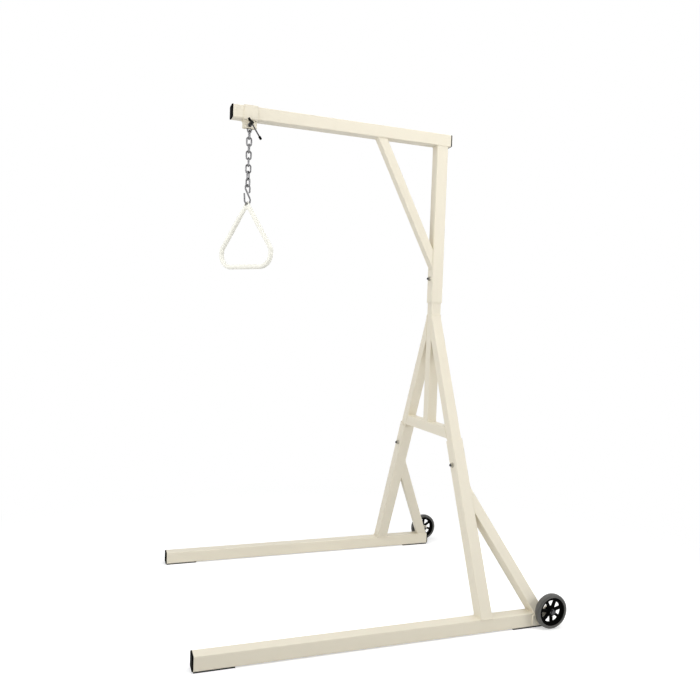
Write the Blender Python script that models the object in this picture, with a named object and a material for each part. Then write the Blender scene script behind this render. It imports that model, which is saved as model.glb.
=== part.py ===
"""Freestanding trapeze: a wheeled floor frame with a boom, a sliding clamp, a chain and a pull handle.

Metres, +Z up, X along the floor legs (wheels at +X), Y across. The floor is Z = 0 and the
origin is at the middle of the footprint.
"""
import math

import bpy
from mathutils import Matrix, Vector

# overall sizes
HEIGHT = 1.9812          # floor to the top of the boom
LEG_SPACING = 1.022      # centre to centre of the floor legs
LEG_FRONT = 1.074        # column axis to the front end of a leg tube
LEG_REAR = 0.254         # column axis to the rear end of a leg tube
BOOM_FRONT = 0.915       # column axis to the front end of the boom tube
BOOM_REAR = 0.038        # column axis to the rear end of the boom tube

# tubes
MAIN_TUBE = 0.0508       # legs, uprights, column and boom
SLIP_TUBE = 0.04445      # tubes that slide into the main tube, and the rear braces
BRACE_TUBE = 0.0381      # brace under the boom
WALL = 0.0021
CORNER_R = 0.0036        # outside corner radius of a tube
GAP = 0.0003             # daylight left between two solids that touch

# floor legs
PAD_T = 0.005            # pad under a leg, with its seating gap
PAD_L = 0.135
PAD_INSET = 0.001
CAP_T = 0.006            # plug flange beyond a tube's end
CAP_DEPTH = 0.020        # plug skirt inside the tube
CAP_WALL = 0.0022
CAP_PLAY = 0.0003

# A-frame
APEX_Z = 1.1914          # where the slanted tubes' axes would cross
UPRIGHT_TOP_Z = 0.6786   # where a lower upright ends, on its axis
SLIP_IN = 0.150          # length of slip tube hidden in a lower upright
CROSSBAR_Z = 0.702
COLUMN_FOOT_Z = 1.2473
POST_IN = 0.150          # length of centre post hidden in the column
JOINT_BOLT_BACK = 0.105  # bolt to the end of the outer tube, along the tube
REAR_BRACE_DEG = 25.2    # rear brace to the upright, in their common plane

# boom brace
BOOM_BRACE_Z = 1.4367    # its axis at the column's face
BOOM_BRACE_X = 0.2803    # its axis at the boom's underside, from the column axis

# bolts
BOLT_R = 0.005
BOLT_PLAY = 0.0003
BOLT_HEAD_T = 0.0064
BOLT_HEAD_AF = 0.016
NUT_AF = 0.016
NUT_T = 0.0092
NUT_FLANGE_R = 0.0105
BOLT_TIP = 0.005         # thread showing past a nut

# wheels
WHEEL_R = 0.0665
WHEEL_W = 0.025
AXLE_X = 0.2665          # from the column axis
AXLE_Z = 0.0687
AXLE_PLAY = 0.0002
PLATE_T = 0.005          # wheel bracket plate
WHEEL_STAND = 0.0057     # bracket plate to the tyre's side
HUB_STAND = 0.001        # bracket plate to the hub's boss
RIM_R = 0.0535
RIM_T = 0.0055           # rim band under the tyre
WEB_HALF = 0.004
SPOKES = 7
SPOKE_HALF = 0.0053
SPOKE_TURN_DEG = -9.0
BOSS_R = 0.0165

# sliding clamp on the boom
CLAMP_X = 0.8445         # clamp centre to the column axis
CLAMP_L = 0.055
STRAP_T = 0.003
STRAP_PLAY = 0.0004
EAR_GAP = 0.012          # between the two ears
EAR_DROP = 0.0324        # ears below the boom
SCREW_DROP = 0.0190      # screw axis below the boom
SCREW_R = 0.004
SCREW_PLAY = 0.0003
SCREW_NECK_R = 0.0065
SCREW_HUB_R = 0.0078
SCREW_HUB_L = 0.016
BAR_PLANE = 0.039        # tommy bar axis from the boom's centre plane
SCREW_NUT_AF = 0.013
SCREW_NUT_T = 0.0065
SCREW_TAIL = 0.0035      # thread showing past the nut
WASHER_T = 0.0024
WASHER_R = 0.009
BAR_R = 0.003
BAR_PLAY = 0.0003
BAR_L = 0.0945           # over both caps
BAR_CAP_R = 0.005
BAR_CAP_L = 0.014
BAR_CAP_SKIN = 0.0016
BAR_TILT_DEG = 33.5

# hanger ring, chain, hook and handle
RING_WIRE_R = 0.00325
RING_HALF_W = 0.0115     # centre line, at the top
RING_DROP = 0.0274       # screw axis to the ring's lowest centre line
RING_TIP_R = 0.0072      # centre line
RING_TOP_R = 0.006       # centre line
LINK_WIRE_R = 0.00325
LINK_W = 0.025           # over the wire
LINK_PITCH = 0.0267
LINK_PLAY = 0.0005
LINK_TURNS_DEG = (90.0, 0.0, 90.0, 0.0, 83.0, -13.0, 55.0, -54.0)
HOOK_WIRE_R = 0.0035
HOOK_H = 0.0825          # over the wire
HOOK_TOP_R = 0.0125      # centre line
HOOK_LOW_R = 0.016       # centre line
HOOK_TIP_L = 0.009       # straight run before the upper tip curls in
HOOK_TURN_DEG = 35.0
HANDLE_TURN_DEG = -50.5
HANDLE_W = 0.270
HANDLE_H = 0.269
HANDLE_BAR = 0.019       # bar diameter
HANDLE_SHOULDER_H = 0.0815 # bottom to where the slanted sides start
HANDLE_SHOULDER_R = 0.033
HANDLE_CORNER_R = 0.0605
HANDLE_APEX_R = 0.010
HANDLE_CROTCH_R = 0.0084 # inside the top corner
HANDLE_APEX_T = 0.012    # bar flattened at the top corner
EYE_R = 0.0075
EYE_TOP = 0.005          # plastic above the eye
HOOK_SEAT = 0.0014       # hook wire to the top of the eye

ROUND = 18               # facets round a bolt
ROLL = 36                # facets round a wheel
SHARP_DEG = 40.0
X0 = (LEG_FRONT + CAP_T - AXLE_X - WHEEL_R) / 2.0   # column axis from the origin
HALF = MAIN_TUBE / 2.0
SLIP = SLIP_TUBE / 2.0
LEG_Y = LEG_SPACING / 2.0
LEG_TOP = PAD_T + MAIN_TUBE
BOOM_UNDER = HEIGHT - MAIN_TUBE
SLOPE = LEG_Y / (APEX_Z - LEG_TOP)
LEAN = math.atan(SLOPE)

for old in list(bpy.data.objects):
    bpy.data.objects.remove(old, do_unlink=True)


def paint(name, color, metallic, roughness):
    """One plain material."""
    material = bpy.data.materials.new(name)
    material.use_nodes = True
    shader = material.node_tree.nodes["Principled BSDF"]
    shader.inputs["Base Color"].default_value = (*color, 1.0)
    shader.inputs["Metallic"].default_value = metallic
    shader.inputs["Roughness"].default_value = roughness
    return material


CREAM = ("cream powder coat", (0.80, 0.74, 0.62), 0.0, 0.45)
BLACK = ("black plastic", (0.02, 0.02, 0.02), 0.0, 0.45)
PAD = ("black rubber pad", (0.03, 0.03, 0.03), 0.0, 0.8)
RUBBER = ("grey rubber", (0.13, 0.13, 0.13), 0.0, 0.7)
ZINC = ("zinc plated steel", (0.62, 0.62, 0.62), 1.0, 0.32)
DARK = ("blackened steel", (0.04, 0.04, 0.04), 1.0, 0.4)


def solid(name, rings, wrap, look, origin):
    """One closed mesh skinned over rings of equally many points."""
    count = len(rings[0])
    verts = [Vector(p) - Vector(origin) for ring in rings for p in ring]
    faces = []
    steps = len(rings) if wrap else len(rings) - 1
    for i in range(steps):
        a = i * count
        b = ((i + 1) % len(rings)) * count
        for j in range(count):
            k = (j + 1) % count
            faces.append((a + j, a + k, b + k, b + j))
    if not wrap:
        faces.append(tuple(range(count - 1, -1, -1)))
        last = (len(rings) - 1) * count
        faces.append(tuple(last + j for j in range(count)))
    mesh = bpy.data.meshes.new(name)
    mesh.from_pydata([tuple(v) for v in verts], [], faces)
    volume = 0.0
    for face in mesh.polygons:
        first = mesh.vertices[face.vertices[0]].co
        for i in range(1, len(face.vertices) - 1):
            second = mesh.vertices[face.vertices[i]].co
            third = mesh.vertices[face.vertices[i + 1]].co
            volume += first.dot(second.cross(third))
    if volume < 0.0:
        mesh.flip_normals()
    mesh.shade_smooth()
    mesh.set_sharp_from_angle(angle=math.radians(SHARP_DEG))
    thing = bpy.data.objects.new(name, mesh)
    thing.location = origin
    bpy.context.scene.collection.objects.link(thing)
    if look is None:
        thing.hide_render = True
        thing.display_type = "WIRE"
    else:
        mesh.materials.append(paint(name + " " + look[0], *look[1:]))
    return thing


def cut(thing, cutter, operation="DIFFERENCE"):
    """Cuts a hole with a hidden cutter, or joins a hidden piece on."""
    step = thing.modifiers.new(cutter.name, "BOOLEAN")
    step.operation = operation
    step.solver = "EXACT"
    step.object = cutter


def square_ring(half, radius, steps=2):
    """Rounded square in its own plane, as pairs."""
    pairs = []
    for quarter in range(4):
        mid = math.pi / 4.0 + quarter * math.pi / 2.0
        cx = math.copysign(half - radius, math.cos(mid))
        cy = math.copysign(half - radius, math.sin(mid))
        for i in range(steps + 1):
            angle = quarter * math.pi / 2.0 + i * math.pi / 2.0 / steps
            pairs.append((cx + radius * math.cos(angle), cy + radius * math.sin(angle)))
    return pairs


def round_ring(radius, count=ROUND):
    return [(radius * math.cos(2 * math.pi * i / count), radius * math.sin(2 * math.pi * i / count))
            for i in range(count)]


def hex_ring(flats, count=ROUND):
    pairs = []
    for i in range(count):
        angle = 2 * math.pi * i / count
        turned = (angle % (math.pi / 3.0)) - math.pi / 6.0
        reach = flats / 2.0 / math.cos(turned)
        pairs.append((reach * math.cos(angle), reach * math.sin(angle)))
    return pairs


def bore_ring(radius, count=ROUND):
    """Facets whose flats, not corners, keep the stated radius."""
    return round_ring(radius / math.cos(math.pi / count), count)


def place(pairs, base, u, v, offset=Vector((0, 0, 0))):
    return [Vector(base) + u * a + v * b + offset for a, b in pairs]


def along(pairs, base, u, v, direction, plane):
    """Slides each point of a section along the tube to an end plane."""
    point, normal = plane
    ring = []
    for a, b in pairs:
        start = Vector(base) + u * a + v * b
        travel = (Vector(point) - start).dot(normal) / direction.dot(normal)
        ring.append(start + direction * travel)
    return ring


def tube(name, base, direction, u, size, start, end, look=CREAM):
    """Square tube, open at both ends, each end cut to its own plane."""
    direction = direction.normalized()
    u = u.normalized()
    v = direction.cross(u)
    outer = square_ring(size / 2.0, CORNER_R)
    inner = square_ring(size / 2.0 - WALL, max(CORNER_R - WALL, 0.0008))
    rings = [along(outer, base, u, v, direction, start),
             along(outer, base, u, v, direction, end),
             along(inner, base, u, v, direction, end),
             along(inner, base, u, v, direction, start)]
    return solid(name, rings, True, look, base)


def turned(name, profile, base, direction, look, bored=False, count=ROUND, u=None):
    """Rings along an axis; each profile entry is (pairs, distance)."""
    direction = Vector(direction).normalized()
    if u is None:
        u = Vector((0, 0, 1)) if abs(direction.z) < 0.9 else Vector((1, 0, 0))
    u = (u - direction * u.dot(direction)).normalized()
    v = direction.cross(u)
    rings = [place(pairs, base, u, v, direction * t) for pairs, t in profile]
    return solid(name, rings, bored, look, base)


def rod_path(points, normal, radius, sides, closed):
    """Round wire along a flat path."""
    normal = Vector(normal).normalized()
    rings = []
    total = len(points)
    for i, point in enumerate(points):
        if closed:
            tangent = points[(i + 1) % total] - points[i - 1]
        elif i == 0:
            tangent = points[1] - points[0]
        elif i == total - 1:
            tangent = points[-1] - points[-2]
        else:
            tangent = points[i + 1] - points[i - 1]
        side = tangent.normalized().cross(normal)
        ring = []
        for j in range(sides):
            angle = 2 * math.pi * (j + 0.5) / sides
            ring.append(point + side * radius * math.cos(angle) + normal * radius * math.sin(angle))
        rings.append(ring)
    if not closed:
        for index, step in ((0, points[0] - points[1]), (-1, points[-1] - points[-2])):
            centre = points[index]
            tip = [centre + (p - centre) * 0.62 + step.normalized() * radius * 0.35 for p in rings[index]]
            if index == 0:
                rings.insert(0, tip)
            else:
                rings.append(tip)
    return rings


def arc(centre, radius, start, end, steps):
    """Points on an arc in (across, up) pairs, angles in degrees."""
    pairs = []
    for i in range(steps + 1):
        angle = math.radians(start + (end - start) * i / steps)
        pairs.append((centre[0] + radius * math.cos(angle), centre[1] + radius * math.sin(angle)))
    return pairs


def flat_path(pairs, turn_deg, axis_x):
    """Pairs (across, up) stood up in a vertical plane that is turned about the chain's line."""
    turn = math.radians(turn_deg)
    across = Vector((math.cos(turn), math.sin(turn), 0.0))
    points = [Vector((axis_x, 0.0, 0.0)) + across * a + Vector((0, 0, b)) for a, b in pairs]
    return points, across.cross(Vector((0, 0, 1)))


def plug(name, base, outward, look=BLACK):
    """Square tube plug: a flange and a hollow skirt, on the end plane of a main tube."""
    outward = Vector(outward)
    u = Vector((0, 1, 0))
    v = outward.cross(u)
    skirt = HALF - WALL - CAP_PLAY
    inner_r = max(CORNER_R - WALL, 0.0008)
    levels = [
        (square_ring(HALF - 0.0016, CORNER_R - 0.0004), CAP_T),
        (square_ring(HALF - 0.0004, CORNER_R), CAP_T - 0.0016),
        (square_ring(HALF, CORNER_R), CAP_T - 0.0026),
        (square_ring(HALF, CORNER_R), GAP),
        (square_ring(skirt, inner_r), GAP),
        (square_ring(skirt - 0.0005, inner_r), -CAP_DEPTH),
        (square_ring(skirt - CAP_WALL, inner_r), -CAP_DEPTH),
        (square_ring(skirt - CAP_WALL, inner_r), GAP * 2),
    ]
    rings = [place(pairs, base, u, v, outward * t) for pairs, t in levels]
    return solid(name, rings, False, look, base)


def hex_bolt(name, under_head, direction, grip, look=ZINC):
    """Hex bolt; direction runs from the head to the thread's tip."""
    direction = Vector(direction)
    back = BOLT_HEAD_T
    profile = [
        (hex_ring(BOLT_HEAD_AF * 0.88), -back),
        (hex_ring(BOLT_HEAD_AF), -back * 0.82),
        (hex_ring(BOLT_HEAD_AF), -back * 0.18),
        (round_ring(NUT_FLANGE_R), 0.0 - back * 0.18),
        (round_ring(NUT_FLANGE_R), 0.0),
        (round_ring(BOLT_R), 0.0),
        (round_ring(BOLT_R), grip + NUT_T + BOLT_TIP - 0.0012),
        (round_ring(BOLT_R - 0.0012), grip + NUT_T + BOLT_TIP),
    ]
    return turned(name, profile, under_head, direction, look)


def flange_nut(name, seat, direction, look=ZINC):
    """Hex nut with a flange at its seat; direction runs away from the seat."""
    bore = BOLT_R + BOLT_PLAY
    profile = [
        (bore_ring(bore), 0.0),
        (round_ring(NUT_FLANGE_R), 0.0),
        (round_ring(NUT_FLANGE_R), 0.0012),
        (hex_ring(NUT_AF), 0.0026),
        (hex_ring(NUT_AF), NUT_T - 0.0012),
        (hex_ring(NUT_AF * 0.88), NUT_T),
        (bore_ring(bore), NUT_T),
    ]
    return turned(name, profile, seat, direction, look, bored=True)


def hole(name, base, direction, radius, reach, count=ROUND):
    """Hidden round cutter."""
    profile = [(bore_ring(radius, count), -reach), (bore_ring(radius, count), reach)]
    return turned(name, profile, base, direction, None, count=count)


X_AXIS = Vector((1, 0, 0))
Y_AXIS = Vector((0, 1, 0))
Z_AXIS = Vector((0, 0, 1))


def leg_side(label, side):
    """One floor leg with its upright, brace, caps, pads, bracket and wheel."""
    y = side * LEG_Y
    centre_z = PAD_T + HALF
    front = Vector((X0 - LEG_FRONT, y, centre_z))
    rear = Vector((X0 + LEG_REAR, y, centre_z))
    tube(label + "_leg_tube", front, X_AXIS, Y_AXIS, MAIN_TUBE, (front, X_AXIS), (rear, X_AXIS))
    plug(label + "_leg_front_cap", front, -X_AXIS)
    plug(label + "_leg_rear_cap", rear, X_AXIS)
    for name, start in (("_front_pad", front.x), ("_rear_pad", rear.x - PAD_L)):
        half_w = HALF - PAD_INSET
        outline = [(half_w, 0.002), (half_w - 0.002, 0.0), (0.002 - half_w, 0.0), (-half_w, 0.002),
                   (-half_w, PAD_T - GAP), (half_w, PAD_T - GAP)]
        rings = [[Vector((start + t, y + a, b)) for a, b in outline] for t in (0.0, PAD_L)]
        solid(label + name, rings, False, PAD, Vector((start + PAD_L / 2, y, 0.0)))

    lean = Vector((0.0, -side * math.sin(LEAN), math.cos(LEAN)))
    flat = Vector((0.0, side * math.cos(LEAN), math.sin(LEAN)))
    foot = Vector((X0, y, LEG_TOP))
    top = foot + lean * ((UPRIGHT_TOP_Z - LEG_TOP) / lean.z)
    upright = tube(label + "_upright", foot, lean, X_AXIS, MAIN_TUBE,
                   (Vector((0, 0, LEG_TOP + GAP)), Z_AXIS), (top, lean))
    bolt_at = top - lean * JOINT_BOLT_BACK
    cut(upright, hole(label + "_upright_hole", bolt_at, X_AXIS, BOLT_R + BOLT_PLAY, 0.06))

    apex = foot + lean * ((APEX_Z - LEG_TOP) / lean.z)
    slip = tube(label + "_slanted_tube", top, lean, X_AXIS, SLIP_TUBE,
                (top - lean * SLIP_IN, lean), (Vector((0, side * (SLIP + GAP), 0)), Y_AXIS))
    cut(slip, hole(label + "_slanted_hole", bolt_at, X_AXIS, BOLT_R + BOLT_PLAY, 0.06))
    head_at = bolt_at + X_AXIS * (HALF + GAP)
    hex_bolt(label + "_joint_bolt", head_at, -X_AXIS, MAIN_TUBE + 2 * GAP)
    flange_nut(label + "_joint_nut", bolt_at - X_AXIS * (HALF + GAP), -X_AXIS)

    angle = math.radians(REAR_BRACE_DEG)
    rise = (lean * math.cos(angle) - X_AXIS * math.sin(angle)).normalized()
    foot_x = X0 + LEG_REAR - SLIP / math.cos(angle)
    brace_foot = Vector((foot_x, y, LEG_TOP))
    tube(label + "_rear_brace", brace_foot, rise, flat, SLIP_TUBE,
         (Vector((0, 0, LEG_TOP + GAP)), Z_AXIS), (Vector((X0 + HALF + GAP, 0, 0)), X_AXIS))

    axle = Vector((X0 + AXLE_X, y, AXLE_Z))
    face = side * (HALF + GAP)
    outline = []
    for centre, radius in ((Vector((X0 + LEG_REAR - 0.050, LEG_TOP - 0.040)), 0.004),
                           (Vector((X0 + LEG_REAR - 0.006, LEG_TOP - 0.040)), 0.004),
                           (Vector((axle.x, axle.z)), 0.0135),
                           (Vector((X0 + LEG_REAR - 0.050, LEG_TOP - 0.010)), 0.004)):
        outline += [(centre.x + radius * math.cos(2 * math.pi * i / 24),
                     centre.y + radius * math.sin(2 * math.pi * i / 24)) for i in range(24)]
    outline = hull(outline)
    rings = [[Vector((a, y + face + side * t, b)) for a, b in outline] for t in (0.0, PLATE_T)]
    bracket = solid(label + "_wheel_bracket", rings, False, CREAM, Vector((axle.x, y + face, axle.z)))
    cut(bracket, hole(label + "_bracket_hole", Vector((axle.x, y + face, axle.z)), Y_AXIS,
                      BOLT_R + BOLT_PLAY, 0.02))

    out = Y_AXIS * side
    plate_out = HALF + GAP + PLATE_T
    tyre_in = plate_out + WHEEL_STAND
    mid = tyre_in + WHEEL_W / 2.0
    hub_in = plate_out + HUB_STAND - mid
    hub_out = WHEEL_W / 2.0 - 0.0018
    base = Vector((axle.x, y, axle.z))
    centre = base + out * mid
    half_w = WHEEL_W / 2.0
    seat = bore_ring(RIM_R + GAP, ROLL)
    edge = [(RIM_R + 0.0022, half_w - 0.0005), (RIM_R + 0.0060, half_w), (WHEEL_R - 0.0050, half_w - 0.0006),
            (WHEEL_R - 0.0018, half_w - 0.0030), (WHEEL_R, half_w - 0.0078)]
    profile = [(seat, 0.0018 - half_w)]
    profile += [(round_ring(radius, ROLL), -t) for radius, t in edge]
    profile += [(round_ring(radius, ROLL), t) for radius, t in reversed(edge)]
    profile.append((seat, half_w - 0.0018))
    turned(label + "_tyre", profile, centre, out, RUBBER, bored=True, count=ROLL)

    bead = half_w - 0.0018
    rim_in = RIM_R - RIM_T
    bore = bore_ring(BOLT_R + AXLE_PLAY, ROLL)
    profile = [(bore, hub_in)]
    for radius, t in ((BOSS_R - 0.004, hub_in), (BOSS_R, hub_in + 0.006), (BOSS_R, -WEB_HALF),
                      (rim_in, -WEB_HALF), (rim_in + 0.001, -bead), (RIM_R, -bead), (RIM_R, bead),
                      (rim_in + 0.001, bead), (rim_in, WEB_HALF), (BOSS_R, WEB_HALF),
                      (BOSS_R, hub_out - 0.002), (BOSS_R - 0.002, hub_out)):
        profile.append((round_ring(radius, ROLL), t))
    profile.append((bore, hub_out))
    hub = turned(label + "_hub", profile, centre, out, BLACK, bored=True, count=ROLL)
    for number in range(SPOKES):
        middle = math.radians(SPOKE_TURN_DEG) + 2 * math.pi * number / SPOKES
        step = math.pi / SPOKES
        near, far = BOSS_R + 0.003, rim_in - 0.0060
        wide = step - math.asin(SPOKE_HALF / far)
        narrow = step - math.asin(SPOKE_HALF / near)
        pairs = []
        for radius, angle in ((far - 0.0008, -wide), (far, -wide * 0.75), (far, 0.0), (far, wide * 0.75),
                              (far - 0.0008, wide), (near, narrow), (near, -narrow)):
            pairs.append((radius * math.cos(middle + angle), radius * math.sin(middle + angle)))
        profile = [(pairs, -half_w), (pairs, half_w)]
        cut(hub, turned(label + "_spoke_gap_" + str(number + 1), profile, centre, out, None, u=X_AXIS))

    head_seat = mid + hub_out + 0.0006
    start = HALF - NUT_T - BOLT_TIP * 0.6
    profile = [
        (hex_ring(BOLT_HEAD_AF * 0.88), head_seat + BOLT_HEAD_T),
        (hex_ring(BOLT_HEAD_AF), head_seat + BOLT_HEAD_T * 0.82),
        (hex_ring(BOLT_HEAD_AF), head_seat + BOLT_HEAD_T * 0.18),
        (round_ring(NUT_FLANGE_R), head_seat + BOLT_HEAD_T * 0.18),
        (round_ring(NUT_FLANGE_R), head_seat),
        (round_ring(BOLT_R), head_seat),
        (round_ring(BOLT_R), start + 0.0012),
        (round_ring(BOLT_R - 0.0012), start),
    ]
    turned(label + "_axle_bolt", profile, base, out, ZINC)
    flange_nut(label + "_axle_nut", base + out * HALF, -out)
    return apex


def hull(points):
    """Outer outline of a set of pairs."""
    points = sorted(set((round(a, 7), round(b, 7)) for a, b in points))
    half = []
    for sequence in (points, points[::-1]):
        chain = []
        for p in sequence:
            while len(chain) > 1 and ((chain[-1][0] - chain[-2][0]) * (p[1] - chain[-2][1])
                                      - (chain[-1][1] - chain[-2][1]) * (p[0] - chain[-2][0])) <= 1e-9:
                chain.pop()
            chain.append(p)
        half += chain[:-1]
    return half


leg_side("near", -1)
leg_side("far", 1)

# centre post, crossbar, column, boom and the boom's brace
post_foot = Vector((X0, 0, CROSSBAR_Z + SLIP + GAP))
post_top = Vector((X0, 0, COLUMN_FOOT_Z + POST_IN))
post = tube("centre_post", post_foot, Z_AXIS, X_AXIS, SLIP_TUBE, (post_foot, Z_AXIS), (post_top, Z_AXIS))

bar_centre = Vector((X0, 0, CROSSBAR_Z))
ends = []
for side in (-1, 1):
    outward = Vector((0, side * math.cos(LEAN), math.sin(LEAN)))
    inner_face = Vector((X0, side * LEG_Y, LEG_TOP)) - outward * (SLIP + GAP)
    ends.append((inner_face, outward))
tube("crossbar", bar_centre, Y_AXIS, X_AXIS, SLIP_TUBE, ends[0], ends[1])

foot = Vector((X0, 0, COLUMN_FOOT_Z))
head = Vector((X0, 0, BOOM_UNDER - GAP))
column = tube("column", foot, Z_AXIS, X_AXIS, MAIN_TUBE, (foot, Z_AXIS), (head, Z_AXIS))
bolt_at = foot + Z_AXIS * JOINT_BOLT_BACK
cut(column, hole("column_hole", bolt_at, X_AXIS, BOLT_R + BOLT_PLAY, 0.06))
cut(post, hole("post_hole", bolt_at, X_AXIS, BOLT_R + BOLT_PLAY, 0.06))
hex_bolt("column_bolt", bolt_at + X_AXIS * (HALF + GAP), -X_AXIS, MAIN_TUBE + 2 * GAP)
flange_nut("column_nut", bolt_at - X_AXIS * (HALF + GAP), -X_AXIS)

boom_z = BOOM_UNDER + HALF
front = Vector((X0 - BOOM_FRONT, 0, boom_z))
rear = Vector((X0 + BOOM_REAR, 0, boom_z))
tube("boom", front, X_AXIS, Y_AXIS, MAIN_TUBE, (front, X_AXIS), (rear, X_AXIS))
plug("boom_front_cap", front, -X_AXIS)
plug("boom_rear_cap", rear, X_AXIS)

low = Vector((X0 - HALF, 0, BOOM_BRACE_Z))
high = Vector((X0 - BOOM_BRACE_X, 0, BOOM_UNDER))
tube("boom_brace", low, high - low, Y_AXIS, BRACE_TUBE,
     (Vector((X0 - HALF - GAP, 0, 0)), X_AXIS), (Vector((0, 0, BOOM_UNDER - GAP)), Z_AXIS))

# sliding clamp: a strap bent round the boom with two ears that a screw draws together
clamp_x = X0 - CLAMP_X
screw_z = BOOM_UNDER - SCREW_DROP
inner_half = HALF + STRAP_PLAY
ear_in = EAR_GAP / 2.0
bend = 0.0012
corners = [(-ear_in, BOOM_UNDER - EAR_DROP), (-ear_in, BOOM_UNDER - STRAP_PLAY),
           (-inner_half, BOOM_UNDER - STRAP_PLAY), (-inner_half, HEIGHT + STRAP_PLAY),
           (inner_half, HEIGHT + STRAP_PLAY), (inner_half, BOOM_UNDER - STRAP_PLAY),
           (ear_in, BOOM_UNDER - STRAP_PLAY), (ear_in, BOOM_UNDER - EAR_DROP)]


def offset_corner(before, at, after, amount):
    """Moves a corner of a path square to both of its sides."""
    first = Vector((at[0] - before[0], at[1] - before[1])).normalized()
    second = Vector((after[0] - at[0], after[1] - at[1])).normalized()
    left = Vector((-first.y, first.x)) * amount + Vector((-second.y, second.x)) * amount
    return (at[0] + left.x, at[1] + left.y)


def rounded(points, radii, steps=4, closed=False):
    """Path with its corners replaced by arcs."""
    pairs = []
    total = len(points)
    for i in range(total):
        if not closed and i in (0, total - 1):
            pairs.append(points[i])
            continue
        at = Vector(points[i])
        first = (at - Vector(points[i - 1])).normalized()
        second = (Vector(points[(i + 1) % total]) - at).normalized()
        turn = first.angle(second)
        across = (second - first * math.cos(turn)) / math.sin(turn)
        start = at - first * radii[i] * math.tan(turn / 2.0)
        for j in range(steps + 1):
            t = turn * j / steps
            p = start + first * radii[i] * math.sin(t) + across * radii[i] * (1.0 - math.cos(t))
            pairs.append((p.x, p.y))
    return pairs


inside = list(corners)
outside = []
for i, corner in enumerate(corners):
    if i in (0, 7):
        outside.append((corner[0] + math.copysign(STRAP_T, corner[0]), corner[1]))
    else:
        outside.append(offset_corner(corners[i - 1], corner, corners[i + 1], STRAP_T))
turns_out = {1: False, 2: True, 3: True, 4: True, 5: True, 6: False}
radii_in = [bend if turns_out.get(i, True) else bend + STRAP_T for i in range(8)]
radii_out = [bend + STRAP_T if turns_out.get(i, True) else bend for i in range(8)]
path_in = rounded(inside, radii_in)
path_out = rounded(outside, radii_out)
rings = []
for inner_p, outer_p in zip(path_in, path_out):
    rings.append([Vector((clamp_x - CLAMP_L / 2, inner_p[0], inner_p[1])),
                  Vector((clamp_x + CLAMP_L / 2, inner_p[0], inner_p[1])),
                  Vector((clamp_x + CLAMP_L / 2, outer_p[0], outer_p[1])),
                  Vector((clamp_x - CLAMP_L / 2, outer_p[0], outer_p[1]))])
strap = solid("clamp_strap", rings, False, CREAM, Vector((clamp_x, 0, boom_z)))
screw_at = Vector((clamp_x, 0, screw_z))
cut(strap, hole("ear_holes", screw_at, Y_AXIS, SCREW_R + SCREW_PLAY, 0.02))

ear_out = ear_in + STRAP_T
neck_at = ear_out + WASHER_T + 2 * GAP
hub_at = BAR_PLANE - SCREW_HUB_L / 2.0
hub_end = BAR_PLANE + SCREW_HUB_L / 2.0
tail = -(ear_out + GAP + SCREW_NUT_T + SCREW_TAIL)
profile = [
    (round_ring(SCREW_R - 0.001), tail), (round_ring(SCREW_R), tail + 0.001),
    (round_ring(SCREW_R), neck_at), (round_ring(SCREW_NECK_R), neck_at),
    (round_ring(SCREW_NECK_R), hub_at), (round_ring(SCREW_HUB_R), hub_at + 0.0012),
    (round_ring(SCREW_HUB_R), hub_end - 0.0012), (round_ring(SCREW_HUB_R - 0.0014), hub_end),
]
screw = turned("clamp_screw", profile, screw_at, -Y_AXIS, DARK)
tilt = math.radians(BAR_TILT_DEG)
down = Vector((math.sin(tilt), 0.0, -math.cos(tilt)))
bar_at = screw_at - Y_AXIS * BAR_PLANE
cut(screw, hole("screw_cross_hole", bar_at, down, BAR_R + BAR_PLAY, 0.02))

turned("clamp_washer", [(bore_ring(SCREW_R + SCREW_PLAY), 0.0), (round_ring(WASHER_R), 0.0),
                        (round_ring(WASHER_R), WASHER_T), (bore_ring(SCREW_R + SCREW_PLAY), WASHER_T)],
       screw_at - Y_AXIS * (ear_out + GAP), -Y_AXIS, ZINC, bored=True)
turned("clamp_nut", [(bore_ring(SCREW_R + SCREW_PLAY), 0.0), (hex_ring(SCREW_NUT_AF * 0.94), 0.0),
                     (hex_ring(SCREW_NUT_AF), 0.0006), (hex_ring(SCREW_NUT_AF), SCREW_NUT_T - 0.0006),
                     (hex_ring(SCREW_NUT_AF * 0.94), SCREW_NUT_T),
                     (bore_ring(SCREW_R + SCREW_PLAY), SCREW_NUT_T)],
       screw_at + Y_AXIS * (ear_out + GAP), Y_AXIS, ZINC, bored=True)

cap_near = SCREW_HUB_R + GAP
bar_high = -(cap_near + BAR_CAP_L)
bar_low = bar_high + BAR_L
skin = BAR_CAP_SKIN
turned("tommy_bar", [(round_ring(BAR_R - 0.0006, 16), bar_high + skin + GAP),
                     (round_ring(BAR_R, 16), bar_high + skin + GAP + 0.0006),
                     (round_ring(BAR_R, 16), bar_low - skin - GAP - 0.0006),
                     (round_ring(BAR_R - 0.0006, 16), bar_low - skin - GAP)], bar_at, down, ZINC)
for name, closed, mouth in (("bar_upper_cap", bar_high, bar_high + BAR_CAP_L),
                            ("bar_lower_cap", bar_low, bar_low - BAR_CAP_L)):
    sign = 1.0 if mouth > closed else -1.0
    profile = [(round_ring(BAR_CAP_R - 0.002, 20), closed), (round_ring(BAR_CAP_R, 20), closed + sign * 0.002),
               (round_ring(BAR_CAP_R, 20), mouth - sign * 0.001), (round_ring(BAR_CAP_R - 0.001, 20), mouth),
               (bore_ring(BAR_R + BAR_PLAY, 20), mouth), (bore_ring(BAR_R + BAR_PLAY, 20), closed + sign * skin)]
    turned(name, profile, bar_at, down, BLACK)

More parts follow.
